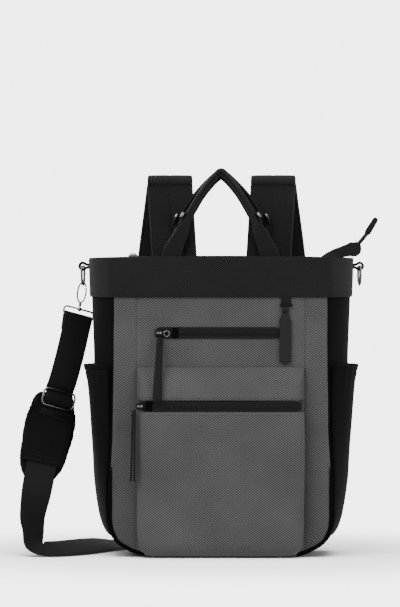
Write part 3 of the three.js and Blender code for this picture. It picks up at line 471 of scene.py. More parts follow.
def swollen(piece, cap):
    # Padded cloth blown up a little by simulation, with no point moved further than the cap
    scene = bpy.context.scene
    work = bpy.data.objects.new("swelling", piece.data.copy())
    scene.collection.objects.link(work)
    remesh = work.modifiers.new("remesh", "REMESH")
    remesh.mode = "VOXEL"
    remesh.voxel_size = swelling["voxel"] * mm

    def settled():
        bpy.context.view_layer.update()
        return bpy.data.meshes.new_from_object(work.evaluated_get(bpy.context.evaluated_depsgraph_get()))

    work.data = settled()
    work.modifiers.clear()
    rest = np.array([v.co[:] for v in work.data.vertices])
    cloth = work.modifiers.new("cloth", "CLOTH")
    cloth.settings.use_pressure = True
    cloth.settings.uniform_pressure_force = swelling["pressure"]
    cloth.settings.effector_weights.gravity = 0.0
    for step in range(swelling["frames"]):
        scene.frame_set(step + 1)
    after = settled()
    moved = np.array([v.co[:] for v in after.vertices]) - rest
    far = np.linalg.norm(moved, axis=1)
    moved *= np.minimum(1, cap * mm / np.maximum(far, 1e-9))[:, None]
    work.modifiers.clear()
    work.data.vertices.foreach_set("co", (rest + moved).ravel())
    work.data.uv_layers.new(name="cloth")
    smooth = work.modifiers.new("smooth", "SUBSURF")
    smooth.levels = smooth.render_levels = 1
    mapped = work.modifiers.new("clothMap", "DATA_TRANSFER")
    mapped.object = piece
    mapped.use_loop_data = True
    mapped.data_types_loops = {"UV"}
    mapped.loop_mapping = "POLYINTERP_NEAREST"
    finished = settled()
    finished.materials.clear()
    finished.materials.append(piece.data.materials[0])
    finished.polygons.foreach_set("use_smooth", [True] * len(finished.polygons))
    piece.data = finished
    bpy.data.objects.remove(work)
    scene.frame_set(1)
    print("swelled", piece.name, len(finished.vertices), "largest move", round(far.max() / mm, 2))


# Small repeated shapes, placed by Geometry Nodes on points that carry their own directions


def smallShapesTree():
    tree = bpy.data.node_groups.new("smallShapes", "GeometryNodeTree")
    for name, kind in (("Geometry", "NodeSocketGeometry"), ("Size", "NodeSocketVector"),
                       ("Wander", "NodeSocketFloat"), ("Seed", "NodeSocketInt"),
                       ("Material", "NodeSocketMaterial")):
        tree.interface.new_socket(name, in_out="INPUT", socket_type=kind)
    tree.interface.new_socket("Geometry", in_out="OUTPUT", socket_type="NodeSocketGeometry")
    given = tree.nodes.new("NodeGroupInput")
    along = addNode(tree, "GeometryNodeInputNamedAttribute", {"data_type": "FLOAT_VECTOR", 0: "along"})
    out = addNode(tree, "GeometryNodeInputNamedAttribute", {"data_type": "FLOAT_VECTOR", 0: "out"})
    turn = addNode(tree, "FunctionNodeAxesToRotation", {"primary_axis": "X", "secondary_axis": "Z"}, {
        "Primary Axis": along.outputs[0], "Secondary Axis": out.outputs[0]})
    low = addNode(tree, "ShaderNodeMath", {"operation": "SUBTRACT", 0: 1.0}, {1: given.outputs["Wander"]})
    high = addNode(tree, "ShaderNodeMath", {"operation": "ADD", 0: 1.0}, {1: given.outputs["Wander"]})
    scale = addNode(tree, "FunctionNodeRandomValue", {"data_type": "FLOAT"})
    tree.links.new(low.outputs[0], scale.inputs[2])
    tree.links.new(high.outputs[0], scale.inputs[3])
    tree.links.new(given.outputs["Seed"], scale.inputs["Seed"])
    ball = addNode(tree, "GeometryNodeMeshUVSphere", {"Segments": 6, "Rings": 4, "Radius": 0.5})
    shape = addNode(tree, "GeometryNodeTransform", links={
        "Geometry": ball.outputs["Mesh"], "Scale": given.outputs["Size"]})
    placed = addNode(tree, "GeometryNodeInstanceOnPoints", links={
        "Points": given.outputs["Geometry"], "Instance": shape.outputs[0],
        "Rotation": turn.outputs[0], "Scale": scale.outputs[1]})
    real = addNode(tree, "GeometryNodeRealizeInstances", links={"Geometry": placed.outputs[0]})
    painted = addNode(tree, "GeometryNodeSetMaterial", links={
        "Geometry": real.outputs[0], "Material": given.outputs["Material"]})
    result = tree.nodes.new("NodeGroupOutput")
    tree.links.new(painted.outputs[0], result.inputs[0])
    return tree


shapesTree = smallShapesTree()


def placeShapes(name, spots, size, material, wander=0.08, seed=3, body="bag"):
    spots = np.asarray(spots, float)
    mesh = bpy.data.meshes.new(name + "Points")
    mesh.from_pydata([tuple(p) for p in spots[:, 0] * mm], [], [])
    for column, label in ((1, "along"), (2, "out")):
        attribute = mesh.attributes.new(label, "FLOAT_VECTOR", "POINT")
        attribute.data.foreach_set("vector", spots[:, column].astype(np.float32).ravel())
    holder = bpy.data.objects.new(name + "Points", mesh)
    bpy.context.scene.collection.objects.link(holder)
    modifier = holder.modifiers.new("shapes", "NODES")
    modifier.node_group = shapesTree
    values = {"Size": tuple(v * mm for v in size), "Wander": wander, "Seed": seed,
              "Material": materials[material]}
    for item in shapesTree.interface.items_tree:
        if item.in_out == "INPUT" and item.name in values:
            modifier[item.identifier] = values[item.name]
    bpy.context.view_layer.update()
    made = bpy.data.meshes.new_from_object(holder.evaluated_get(bpy.context.evaluated_depsgraph_get()))
    bpy.data.objects.remove(holder)
    made.polygons.foreach_set("use_smooth", [True] * len(made.polygons))
    piece = bpy.data.objects.new(name, made)
    bpy.context.scene.collection.objects.link(piece)
    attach(piece, body)
    return piece


def spotsAlong(points, out, pitch, lift=0.0):
    # Evenly spaced spots on a line, each with its direction along the line and out of the cloth
    points = np.asarray(points, float)
    out = np.broadcast_to(np.asarray(out, float), points.shape)
    lengths = np.concatenate([[0], np.cumsum(np.linalg.norm(np.diff(points, axis=0), axis=1))])
    count = max(2, int(lengths[-1] / pitch))
    places = (np.arange(count) + 0.5) * lengths[-1] / count
    at = np.stack([np.interp(places, lengths, points[:, k]) for k in range(3)], -1)
    outward = unit(np.stack([np.interp(places, lengths, out[:, k]) for k in range(3)], -1))
    along = unit(np.gradient(at, axis=0))
    return np.stack([at + outward * lift, along, outward], 1)


stitches = {"black": [], "grey": []}
stitchPitch = 3.4
stitchSize = (2.5, 0.55, 0.5)


def stitch(points, out, colour="black", lift=0.1):
    stitches[colour].extend(spotsAlong(points, out, stitchPitch, lift))


def boxOf(name):
    # Lowest and highest corner of a solid
    low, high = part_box(name)
    return np.array(low) / mm, np.array(high) / mm


# Bag body, with the same sections as the solid parts

bag = {"rim": 373.0, "width": 318.0, "front": 265.0, "depth": 130.0, "panel": 209.0, "wall": 2.0,
       "band": 51.0, "bodyTop": 328.0, "backShare": 1.055, "roundness": 2.2, "padding": 6.0,
       "seam": 0.15, "quiltAt": 66, "quiltDepth": 1.6, "boundTop": 112}
panelHalf = bag["panel"] / 2
halfDepth = bag["depth"] / 2
bandBottom = bag["rim"] - bag["band"]
bodySections = np.array([
    # height, side, front and depth, as shares
    (0, 0.616, 0.6, 0.88), (0.0055, 0.685, 0.717, 0.92), (0.0135, 0.74, 0.79, 0.955),
    (0.032, 0.8, 0.898, 0.98), (0.051, 0.845, 0.98, 0.99), (0.091, 0.906, 1.034, 1),
    (0.131, 0.938, 1.047, 1), (0.188, 0.96, 1.042, 1), (0.268, 0.981, 1.034, 1),
    (0.413, 1, 1.011, 1), (0.654, 1, 1.001, 1), (0.863, 1.016, 1, 1), (1, 1.024, 1, 1),
])
heightsKnown = np.linspace(0, bag["rim"], 1493)


def smoothed(column, share):
    values = np.interp(heightsKnown / bag["rim"], bodySections[:, 0], bodySections[:, column]) * share
    reach = 16
    wide = np.concatenate([np.full(reach, values[0]), values, np.full(reach, values[-1])])
    return np.convolve(wide, np.ones(2 * reach + 1) / (2 * reach + 1), "valid")


sideAll = smoothed(1, bag["width"] / 2)
frontAll = smoothed(2, bag["front"] / 2)
depthAll = smoothed(3, halfDepth)


def sectionAt(z, growth=0.0):
    side, front, depth = (float(np.interp(z, heightsKnown, all)) for all in (sideAll, frontAll, depthAll))
    front += growth * 0.45
    return side + growth, front, front * bag["backShare"], depth + growth


def sidePoint(z, t, sign, growth=0.0):
    side, front, back, depth = sectionAt(z, growth)
    corner = front if t < 0 else back
    x = corner + (side - corner) * (1 - abs(t) ** bag["roundness"])
    return [sign * x, depth * t, z]


def wallHeights(low, high, step=4.0):
    # Closer rows near the floor, where the walls curve in
    heights = list(np.linspace(low, high, int((high - low) / step) + 1))
    near = [z for z in np.linspace(low, low + 24, 10)[1:-1] if low < 5]
    return np.array(sorted(set(heights + near)))


def turnedRight(rows, sign):
    # Rows whose columns run to the right, seen from outside
    return np.array(rows) if sign > 0 else np.array(rows)[:, ::-1]


# Amount and size of each wall's folds
bodyFolds = {"front": (0.5, 60.0), "strip": (0.4, 40.0), "gusset": (1.4, 55.0), "back": (1.0, 50.0)}


def makeBodyWalls():
    heights = wallHeights(0.5, bag["bodyTop"])
    seam = bag["seam"]
    rows = []
    for z in heights:
        _, front, _, depth = sectionAt(z)
        half = min(panelHalf - seam, front - 2 * seam)
        rows.append([[x, -depth + 0.35, z] for x in np.linspace(-half, half, 56)])
    front = seamRoll(wrinkled(np.array(rows), *bodyFolds["front"], 1.0), 0.9, 2.2, "lr")
    shell("frontPanel", front, bag["wall"], "greyTwill", ["front_panel"])

    stripHeights = [z for z in heights if sectionAt(z)[1] > panelHalf + 5]
    for label, sign in (("left", -1), ("right", 1)):
        rows = []
        for z in stripHeights:
            _, edge, _, depth = sectionAt(z)
            rows.append([[sign * x, -depth + 0.2, z]
                         for x in np.linspace(panelHalf + seam, edge - seam, 12)])
        grid = turnedRight(rows, sign)
        grid = seamRoll(wrinkled(grid, *bodyFolds["strip"], 2.0 + sign), 0.8, 2.0, "lr")
        shell(f"frontStrip_{label}", grid, bag["wall"], "greyTwill", [f"front_strip_{label}"])

        rows = [[sidePoint(z, t, sign) for t in np.linspace(-0.996, 0.996, 48)] for z in heights]
        grid = turnedRight(rows, sign)
        height = (heights / bag["bodyTop"])[:, None] * np.ones(48)
        grid = wrinkled(grid, *bodyFolds["gusset"], 6.0 + sign, np.sin(math.pi * height), (1, 1.4, 0.5))
        grid = seamRoll(grid, 0.7, 2.0, "lr")
        shell(f"sideGusset_{label}", grid, bag["wall"], "blackPlain", [f"side_gusset_{label}"])

        # The gusset's bound seam, which shows as a black edge round the lower corner
        seamLine = np.array([[sign * (sectionAt(z)[1] - 1.4), -sectionAt(z)[3] - 0.9, z]
                             for z in np.linspace(3, bag["boundTop"], 60)])
        across = np.cross(np.gradient(seamLine, axis=0), (0, sign, 0))
        widths = 0.8 + 4.2 * np.clip((bag["boundTop"] - seamLine[:, 2]) / 50, 0, 1)
        ribbon(f"boundSeam_{label}", seamLine, across, widths, 1.2, flatSection(9, 0.3), "blackPlain")

    rows = []
    for z in heights:
        _, _, back, depth = sectionAt(z)
        half = back - seam
        rows.append([[-x, depth, z] for x in np.linspace(-half, half, 64)])
    grid = np.array(rows)
    u = grid[..., 0]
    quiltLines = (-bag["quiltAt"], bag["quiltAt"])
    grid[..., 1] -= bag["quiltDepth"] * sum(np.exp(-((u - x) / 3.0) ** 2) for x in quiltLines)
    grid = seamRoll(wrinkled(grid, *bodyFolds["back"], 9.0), 2.2, 4.0, "lrb")
    back = shell("backPanel", grid, bag["padding"], "padCloth", ["back_panel"])
    for x in quiltLines:
        stitch([[x, halfDepth - 1.5, z] for z in np.linspace(8, bandBottom - 4, 60)], (0, 1, 0))

    rings = []
    for z, inset in ((0.0, 3.0), (0.0, 0.7), (0.5, 0.2), (1.8, 0.2), (2.3, 0.7), (2.3, 3.0)):
        ring = [sidePoint(0.3, t, 1, -inset) for t in np.linspace(-0.97, 0.97, 30)]
        ring += [sidePoint(0.3, t, -1, -inset) for t in np.linspace(0.97, -0.97, 30)]
        rings.append([[x, y, z] for x, y, _ in ring])
    tube("basePanel", rings, "blackPlain", ["base_panel"])


bandLook = {"wall": 2.5, "arch": 2.5, "gap": 0.3, "folds": (0.35, 34.0)}


def bandGrid(pointsOf, growth):
    heights = np.linspace(bandBottom, bag["rim"], 16)
    rows = []
    for z in heights:
        side = sectionAt(z, growth)[0]
        share = (z - bandBottom) / bag["band"]
        rows.append([[x, y, z - bandLook["arch"] * share * (x / side) ** 2] for x, y in pointsOf(z, growth)])
    return np.array(rows)


def makeBand():
    growth = bandLook["gap"] + bandLook["wall"]
    seam = bag["seam"]

    def flat(face):
        def points(z, growth):
            _, front, back, depth = sectionAt(z, growth)
            half = (front if face < 0 else back) - seam
            return [(-face * x, face * depth) for x in np.linspace(-half, half, 66)]
        return points

    def curved(sign):
        def points(z, growth):
            row = [sidePoint(z, t, sign, growth)[:2] for t in np.linspace(-0.994, 0.994, 44)]
            return row if sign > 0 else row[::-1]
        return points

    pieces = [("front", flat(-1), "top_band_front"), ("back", flat(1), "top_band_back"),
              ("right", curved(1), "top_band_right"), ("left", curved(-1), "top_band_left")]
    for name, pointsOf, node in pieces:
        grid = wrinkled(bandGrid(pointsOf, growth), *bandLook["folds"], 12.0)
        grid = seamRoll(grid, 1.9, 2.4, "lr")
        grid = seamRoll(grid, 0.5, 1.5, "bt")
        out = gridNormals(grid)
        shell(f"topBand_{name}", grid, bandLook["wall"] * 0.9, "blackTwill", [node])
        for row in (1, 14):
            stitch(grid[row, 2:-2], out[row, 2:-2])


makeBodyWalls()
makeBand()
print("body ready")

# Pockets

frontPocket = {"top": 236.0, "reach": 28.0, "corner": 9.0, "zip": 188.0, "zipWidth": 16.0, "root": -65.3,
               "yokeFolds": (0.8, 38.0), "folds": (1.0, 46.0), "fullness": 1.6, "sag": 2.2, "dartAt": 103}
yokeRows = np.array([(0, 0.9, 0.995), (0.5, 0.55, 0.995), (1, 0.1, 0.995)])
pocketRows = np.array([
    # height, reach and half width, as shares
    (0.004, 0.6, 0.89), (0.03, 0.85, 0.93), (0.075, 0.97, 0.965), (0.2, 1, 0.985), (0.6, 1, 0.995),
    (1, 0.97, 0.995),
])


def pocketPlan(out, half, z, columns=60):
    # From the left root round a corner, over the front and round to the right root
    x = panelHalf * half
    root = frontPocket["root"]
    front = root - max(out * frontPocket["reach"], 1.2)
    corner = min(frontPocket["corner"], (root - front) * 0.6)
    turn = [(x - corner + corner * math.cos(a), front + corner - corner * math.sin(a))
            for a in np.linspace(0, math.pi / 2, 7)]
    right = [(x, root - 0.2), (x, (root + front + corner) / 2)] + turn
    left = [(-px, py) for px, py in right]
    line = np.array(left[:-1] + list(zip(np.linspace(left[-1][0], right[-1][0], columns),
                                         np.full(columns, front))) + list(reversed(right))[1:])
    return np.column_stack([line, np.full(len(line), z)])


def darted(grid, darts):
    # Folds that run in from the top corners, past which the cloth turns back. Each dart has its x and
    # z at the seam and its lean
    normals = gridNormals(grid)
    x, z = grid[..., 0], grid[..., 2]
    push = np.zeros_like(x)
    for dart in darts:
        line = dart["x"] + dart["lean"] * (dart["z"] - z)
        past = np.clip((x - line) * np.sign(dart["x"]) / dart["reach"], 0, 1)
        crease = np.exp(-((x - line) / 1.2) ** 2)
        proud = np.clip((frontPocket["root"] - grid[..., 1] - 1.5) / 12, 0, 1)
        push += proud * (dart["depth"] * past + dart["crease"] * crease)
    return grid - normals * push[..., None]


def makeFrontPocket():
    zipTop = frontPocket["zip"] + frontPocket["zipWidth"] / 2 - 0.8
    zipBottom = frontPocket["zip"] - frontPocket["zipWidth"] / 2 + 0.8
    rows = []
    for share in np.linspace(0, 1, 18):
        out, half = (np.interp(share, yokeRows[:, 0], yokeRows[:, k]) for k in (1, 2))
        out = out + 0.1 * math.sin(math.pi * share)
        rows.append(pocketPlan(out, half, zipTop + (frontPocket["top"] - zipTop) * share, 200))
    grid = np.array(rows)
    grid = darted(grid, [
        {"x": frontPocket["dartAt"] * sign, "z": frontPocket["top"], "lean": -0.31 * sign,
         "depth": 5.0, "reach": 9.0, "crease": 1.3} for sign in (-1, 1)
    ])
    grid = wrinkled(grid, *frontPocket["yokeFolds"], 21.0)
    grid = seamRoll(grid, 1.1, 1.8, "tb")
    shell("pocketYoke", grid, 2.0, "greyTwill", ["pocket_yoke"])
    out = gridNormals(grid)
    stitch(grid[1, 14:-14], out[1, 14:-14], "grey")

    rows = []
    for share in [0.004, 0.012, 0.022, 0.036, 0.055] + list(np.linspace(0.08, 1, 42)):
        out, half = (np.interp(share, pocketRows[:, 0], pocketRows[:, k]) for k in (1, 2))
        z = 2 + (zipBottom - 2) * share
        row = pocketPlan(out, half, z)
        if share < 0.08:
            # The lower edge sags to the middle and lifts at the corners
            corner = (np.abs(row[:, 0]) / panelHalf) ** 6
            row[:, 2] += frontPocket["sag"] * corner * (1 - share / 0.08)
        rows.append(row)
    grid = np.array(rows)
    x, z = grid[..., 0] / panelHalf, grid[..., 2] / zipBottom
    full = np.clip(1 - x ** 4, 0, 1) * np.sin(math.pi * np.clip(z, 0, 1)) ** 0.7
    grid[..., 1] -= frontPocket["fullness"] * full * (grid[..., 1] < frontPocket["root"] - 12)
    grid = wrinkled(grid, *frontPocket["folds"], 25.0, None, (1, 1, 0.7))
    grid = seamRoll(grid, 1.0, 2.0, "t")
    shell("pocketFront", grid, 2.0, "greyTwill", ["pocket_front"])
    out = gridNormals(grid)
    stitch(grid[-2, 10:-10], out[-2, 10:-10], "grey")


sidePocket = {"hem": 26.0, "mouth": 238.0, "gap": 0.7, "opening": 10.0, "folds": (1.5, 44.0),
              "stitchedAt": 9}
sidePocketRows = np.array([
    # height and how far the cloth stands off, as shares
    (0, 0), (0.12, 0.02), (0.36, 0.05), (0.6, 0.12), (0.77, 0.35), (0.9, 0.55), (1, 1),
])


def makeSidePockets():
    low, high = sidePocket["hem"], sidePocket["mouth"]
    heights = list(np.linspace(low, high - 14, 50)) + list(np.linspace(high - 13, high - 0.4, 10))
    for label, sign in (("left", -1), ("right", 1)):
        rows = []
        for z in heights:
            off = float(np.interp((z - low) / (high - low), *sidePocketRows.T))
            row = []
            for t in np.linspace(-0.93, 0.93, 52):
                point = sidePoint(z, t, sign, sidePocket["gap"] + bag["wall"])
                gathers = 0.5 * math.sin(34 * t + 5 * sign) + 0.35 * math.sin(57 * t + 1.3)
                near = math.exp(-((high - z) / 30) ** 2)
                point[0] += sign * (off * sidePocket["opening"] + gathers * near) * (1 - t * t)
                row.append(point)
            rows.append(row)
        grid = turnedRight(rows, sign)
        share = (np.array(heights)[:, None] - low) / (high - low) * np.ones(52)
        grid = wrinkled(grid, *sidePocket["folds"], 31.0 + sign, np.sin(math.pi * share) ** 0.6, (1, 1, 0.6))
        fromStitches = np.array(heights) - (high - sidePocket["stitchedAt"])
        groove = np.exp(-(fromStitches / 1.5) ** 2)[:, None] * np.ones(52)
        grid = grid - gridNormals(grid) * (groove * 0.8)[..., None]
        grid = seamRoll(grid, 0.7, 2.0, "lrb")
        shell(f"sidePocket_{label}", grid, 2.0, "blackPlain", [f"side_pocket_{label}"])
        out = gridNormals(grid)
        row = int(np.argmin(np.abs(fromStitches)))
        stitch(grid[row, 1:-1], out[row, 1:-1], "black", 0.2)


makeFrontPocket()
makeSidePockets()
print("pockets ready")

# Handles: leather straps, flat at the rim and folded lengthwise along the grip

handle = {"width": 25.0, "grip": 7.0, "wall": 2.4, "spread": 122.0, "top": 480.0, "seat": 63.5,
          "apexReach": 0.16, "bow": 0.14, "flapLength": 13.0, "flapWidth": 9.0}
handleRows = np.array([
    # spread, rise, reach and width as shares, and how far it is folded
    (1.08, -0.3, 1, 1, 0), (0.985, 0.02, 1, 0.98, 0), (0.88, 0.17, 0.98, 0.8, 0.1),
    (0.78, 0.3, 0.95, 0.66, 0.45),
    (0.71, 0.41, 0.9, 0.46, 1), (0.595, 0.53, 0.82, 0.42, 1), (0.395, 0.73, 0.64, 0.42, 1),
    (0.19, 0.89, 0.38, 0.46, 1), (0.065, 0.965, 0.2, 0.5, 1),
])


def mix(a, b, t):
    return a + (b - a) * t


def makeHandles():
    climb = handle["top"] - handle["grip"] / 2 - bag["rim"]
    for face, sign in (("front", -1), ("back", 1)):
        half = []
        bow = handle["bow"] if face == "back" else 0
        for spread, up, reach, width, fold in handleRows:
            spread += bow * fold * math.sin(math.pi * up)
            half.append([-spread * handle["spread"] / 2, sign * handle["seat"] * reach,
                         bag["rim"] + up * climb, math.cos(fold), 0, -math.sin(fold),
                         width * handle["width"], fold])
        apex = list(half[-1])
        apex[:6] = [0, sign * handle["seat"] * handle["apexReach"], bag["rim"] + climb, 0, 0, -1]
        other = [[-r[0], r[1], r[2], -r[3], 0, r[5], r[6], r[7]] for r in reversed(half)]
        rows = catmull(half + [apex] + other, 7)
        at, side, width = rows[:, :3], rows[:, 3:6], rows[:, 6]
        fold = np.clip(rows[:, 7], 0, 1)
        sections = []
        for f in fold:
            # Folded, the strap is a round-backed roll whose two edges meet along a stitched groove
            flat = flatSection(11, 0.1)
            rolled = flatSection(11, 0.62)
            section = mix(flat, rolled, f)
            section[:, 1] *= 1 - 0.22 * f * np.exp(-(section[:, 0] / 0.16) ** 2)
            sections.append(section)
        thick = mix(handle["wall"], handle["grip"], fold)
        ribbon(f"handle_{face}", at, side, width, thick, sections, "leather", [f"handle_{face}"])
        along = unit(np.gradient(at, axis=0))
        wide, up = pathFrame(at, side)
        low = fold < 0.2
        outward = up * np.sign(np.sum(up * (0, sign, 0), axis=1))[:, None]
        for part in (at[:, 0] < 0, at[:, 0] > 0):
            keep = low & part
            for edge in (-0.8, 0.8):
                line = at[keep] + wide[keep] * (width[keep] * edge / 2)[:, None]
                stitch(line, outward[keep], "black", handle["wall"] / 2)
        grip = fold > 0.9
        stitch(at[grip], up[grip], "black", handle["grip"] / 2 * 0.72)
        stitch(at[grip], -up[grip], "black", handle["grip"] / 2 * 0.72)

        # Pointed flap under each stud
        for label in ("left", "right"):
            low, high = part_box(f"handle_stud_{face}_{label}")
            stud = np.array((low + high) / 2) / mm
            near = int(np.argmin(np.linalg.norm(at - stud, axis=1)))
            out = unit(stud - at[near])
            down = along[near] * (-1 if label == "left" else 1)
            start = at[near] + out * (width[near] / 2 + 0.3)
            places = [start + down * far for far in (-4, 2, 8, handle["flapLength"])]
            across = np.cross(down, out)
            width4 = [handle["flapWidth"], handle["flapWidth"], handle["flapWidth"] * 0.8, 0.8]
            ribbon(f"handleFlap_{face}_{label}", places, [across] * 4, width4, 1.0,
                   flatSection(7, 0.15), "leather")


# Shoulder straps, folded over and down behind the bag

shoulder = {"width": 57.0, "wall": 9.0, "spread": 117.0, "top": 475.5, "reach": 38.0,
            "webbing": 25.0, "webbingWall": 1.7, "lockHeight": 26.0, "lockBar": 4.0, "lockWall": 3.2}
shoulderFront = [(1, 0.728, 0), (1.03, 0.797, 0.02), (1.085, 0.905, 0.12), (1.113, 0.965, 0.22)]
shoulderFold = (1.12, 0.972, 0.42)
shoulderBack = [(1.15, 0.955, 0.62), (1.2, 0.907, 0.75), (1.32, 0.795, 0.95), (1.47, 0.633, 1),
                (1.64, 0.464, 0.85), (1.78, 0.316, 0.55), (1.81, 0.274, 0.45)]


def makeShoulderStraps():
    root = halfDepth + 0.6 + bandLook["wall"] + shoulder["wall"] / 2
    for label, sign in (("left", -1), ("right", 1)):
        def place(row):
            return np.array([sign * row[0] * shoulder["spread"] / 2, root + row[2] * shoulder["reach"],
                             row[1] * shoulder["top"]])
        centre = place(shoulderFold)
        radius = shoulder["top"] - shoulder["wall"] / 2 - centre[2]
        fold = [centre + (0, radius * math.cos(a), radius * math.sin(a))
                for a in np.linspace(0.88, 0.12, 5) * math.pi]
        given = [place(r) for r in shoulderFront] + fold + [place(r) for r in shoulderBack]
        at = catmull(given, 9)
        count = len(at)
        width = np.full(count, shoulder["width"])
        thick = np.full(count, shoulder["wall"] * 0.95)
        ending = np.clip((count - 1 - np.arange(count)) / 7, 0, 1)
        width *= 0.72 + 0.28 * ending ** 0.5
        thick *= 0.45 + 0.55 * ending ** 0.5
        # The fold squeezes the padding, with small cross wrinkles beside it
        lengths = lengthsAlong(at[None], 1)[0]
        bend = lengths[int(np.argmax(at[:, 2]))]
        near = np.exp(-((lengths - bend) / 26) ** 2)
        thick *= 1 - 0.02 * near * (1 + np.sin(lengths / 2.4))
        sections = []
        for share in near:
            section = flatSection(19, 0.07, 0.06, (-0.86, 0, 0.86), 0.1, 0.03)
            crease = np.exp(-(section[:, 0] / 0.05) ** 2)
            section[:, 1] *= 1 - 0.04 * share * crease
            sections.append(section)
        strap = ribbon(f"shoulderStrap_{label}", at, (1, 0, 0) + 0 * at, width, thick, sections,
                       "blackTwill", [f"shoulder_strap_{label}"])
        wide, up = pathFrame(at, (1, 0, 0) + 0 * at)
        for edge in (-0.83, 0.83):
            for face in (-1, 1):
                line = at + wide * (width * edge / 2)[:, None]
                stitch(line[4:-6], up[4:-6] * face, "black", shoulder["wall"] * 0.36)

        # Webbing down through the ladder lock to the base corner
        top = given[-1]
        foot = np.array([sign * (bag["front"] - shoulder["webbing"]) / 2,
                         halfDepth + 0.6 + 0.9, 0.07 * bag["rim"]])
        rise = unit(top - foot)
        wide = unit(np.array([1.0, 0, 0]) - rise * rise[0])
        out = np.cross(rise, wide)
        length = np.linalg.norm(top - foot)
        lock = foot + rise * length * 0.62
        bar = (shoulder["lockHeight"] - shoulder["lockBar"]) / 2
        turn = math.hypot(shoulder["lockBar"], shoulder["lockWall"]) / 2 + 1.2
        for part, end, far in (("upper", 1, length * 0.38 - 1.2), ("lower", -1, length * 0.62)):
            local = [(0, end * far), (turn * 0.9, end * (bar + 7))]
            local += [(turn * math.cos(a), end * (bar + turn * math.sin(a)))
                      for a in -np.linspace(0, math.pi, 7)]
            local += [(-turn, end * (bar + 12))]
            line = catmull([lock + out * y + rise * z for y, z in local], 4)
            ribbon(f"strapWebbing_{part}_{label}", line, wide + 0 * line, shoulder["webbing"],
                   shoulder["webbingWall"], flatSection(9, 0.08), "webbing",
                   [f"strap_webbing_{part}_{label}"])


makeHandles()
makeShoulderStraps()
print("handles and shoulder straps ready")

# Clip-on strap: threaded through its rings and slider, then round on the floor behind the bag

clip = {"width": 38.0, "wall": 1.7, "ringWire": 2.6, "ease": 1.1, "ringHeight": 12.6, "sliderDrop": 116.0,
        "sliderHeight": 24.0, "hem": 50.0, "start": 12.0, "tilt": 0.25, "yaw": 0.45, "hookTilt": 0.13,
        "swivelDrop": 33.9, "hookTop": 339.6, "ringBack": 20.0, "floorX": 46.0, "floorY": 110.0}
strapRows = np.array([
    # x, y and z as shares of the swivel's height, and the direction across
    (-0.7, 0.03, 0.53, 1, 0.1, -0.2), (-0.722, 0.012, 0.42, 1, 0.05, -0.15),
    (-0.741, -0.005, 0.33, 1, -0.05, -0.1), (-0.755, -0.035, 0.25, 1, 0.32, 0),
    (-0.769, -0.07, 0.165, 0.72, 0.68, 0.1), (-0.767, -0.12, 0.1, 0.42, 0.86, 0.28),
    (-0.757, -0.16, 0.053, 0.2, 0.9, 0.3), (-0.725, -0.18, 0.033, 0.05, 0.9, 0.38),
    (-0.66, -0.16, 0.031, -0.57, 0.7, 0.42), (-0.59, -0.07, 0.031, -0.78, 0.46, 0.42),
    (-0.53, 0.06, 0.03, -0.83, 0.37, 0.4), (-0.475, 0.19, 0.027, -0.86, 0.47, 0.37),
    (-0.4, 0.3, 0.018, -0.61, 0.78, 0.22), (-0.27, 0.352, 0.009, -0.19, 0.98, 0.08),
    (-0.1, 0.359, 0.0045, 0, 1, 0),
])
pad = {"width": 67.0, "wall": 8.0, "cap": 2.0, "sleeveWidth": 54.0, "sleeveWall": 1.4}
padRows = np.array([
    # place down the pad, left and right edges as shares of its width
    (0, -0.34, 0.34), (0.06, -0.43, 0.42), (0.25, -0.5, 0.5), (0.5, -0.5, 0.5), (0.75, -0.48, 0.45),
    (0.92, -0.4, 0.36), (1, -0.3, 0.28),
])


def spread(path, shares):
    # Rows at these shares of a path's length
    lengths = lengthsAlong(path[None, :, :3], 1)[0]
    return np.stack([np.interp(shares * lengths[-1], lengths, column) for column in path.T], -1)


def frameOf(origin, tilt, yaw, roll=0.0):
    turn = Matrix.Rotation(yaw, 4, "Z") @ Matrix.Rotation(tilt, 4, "Y") @ Matrix.Rotation(roll, 4, "Z")
    return Matrix.Translation(Vector(origin)) @ turn


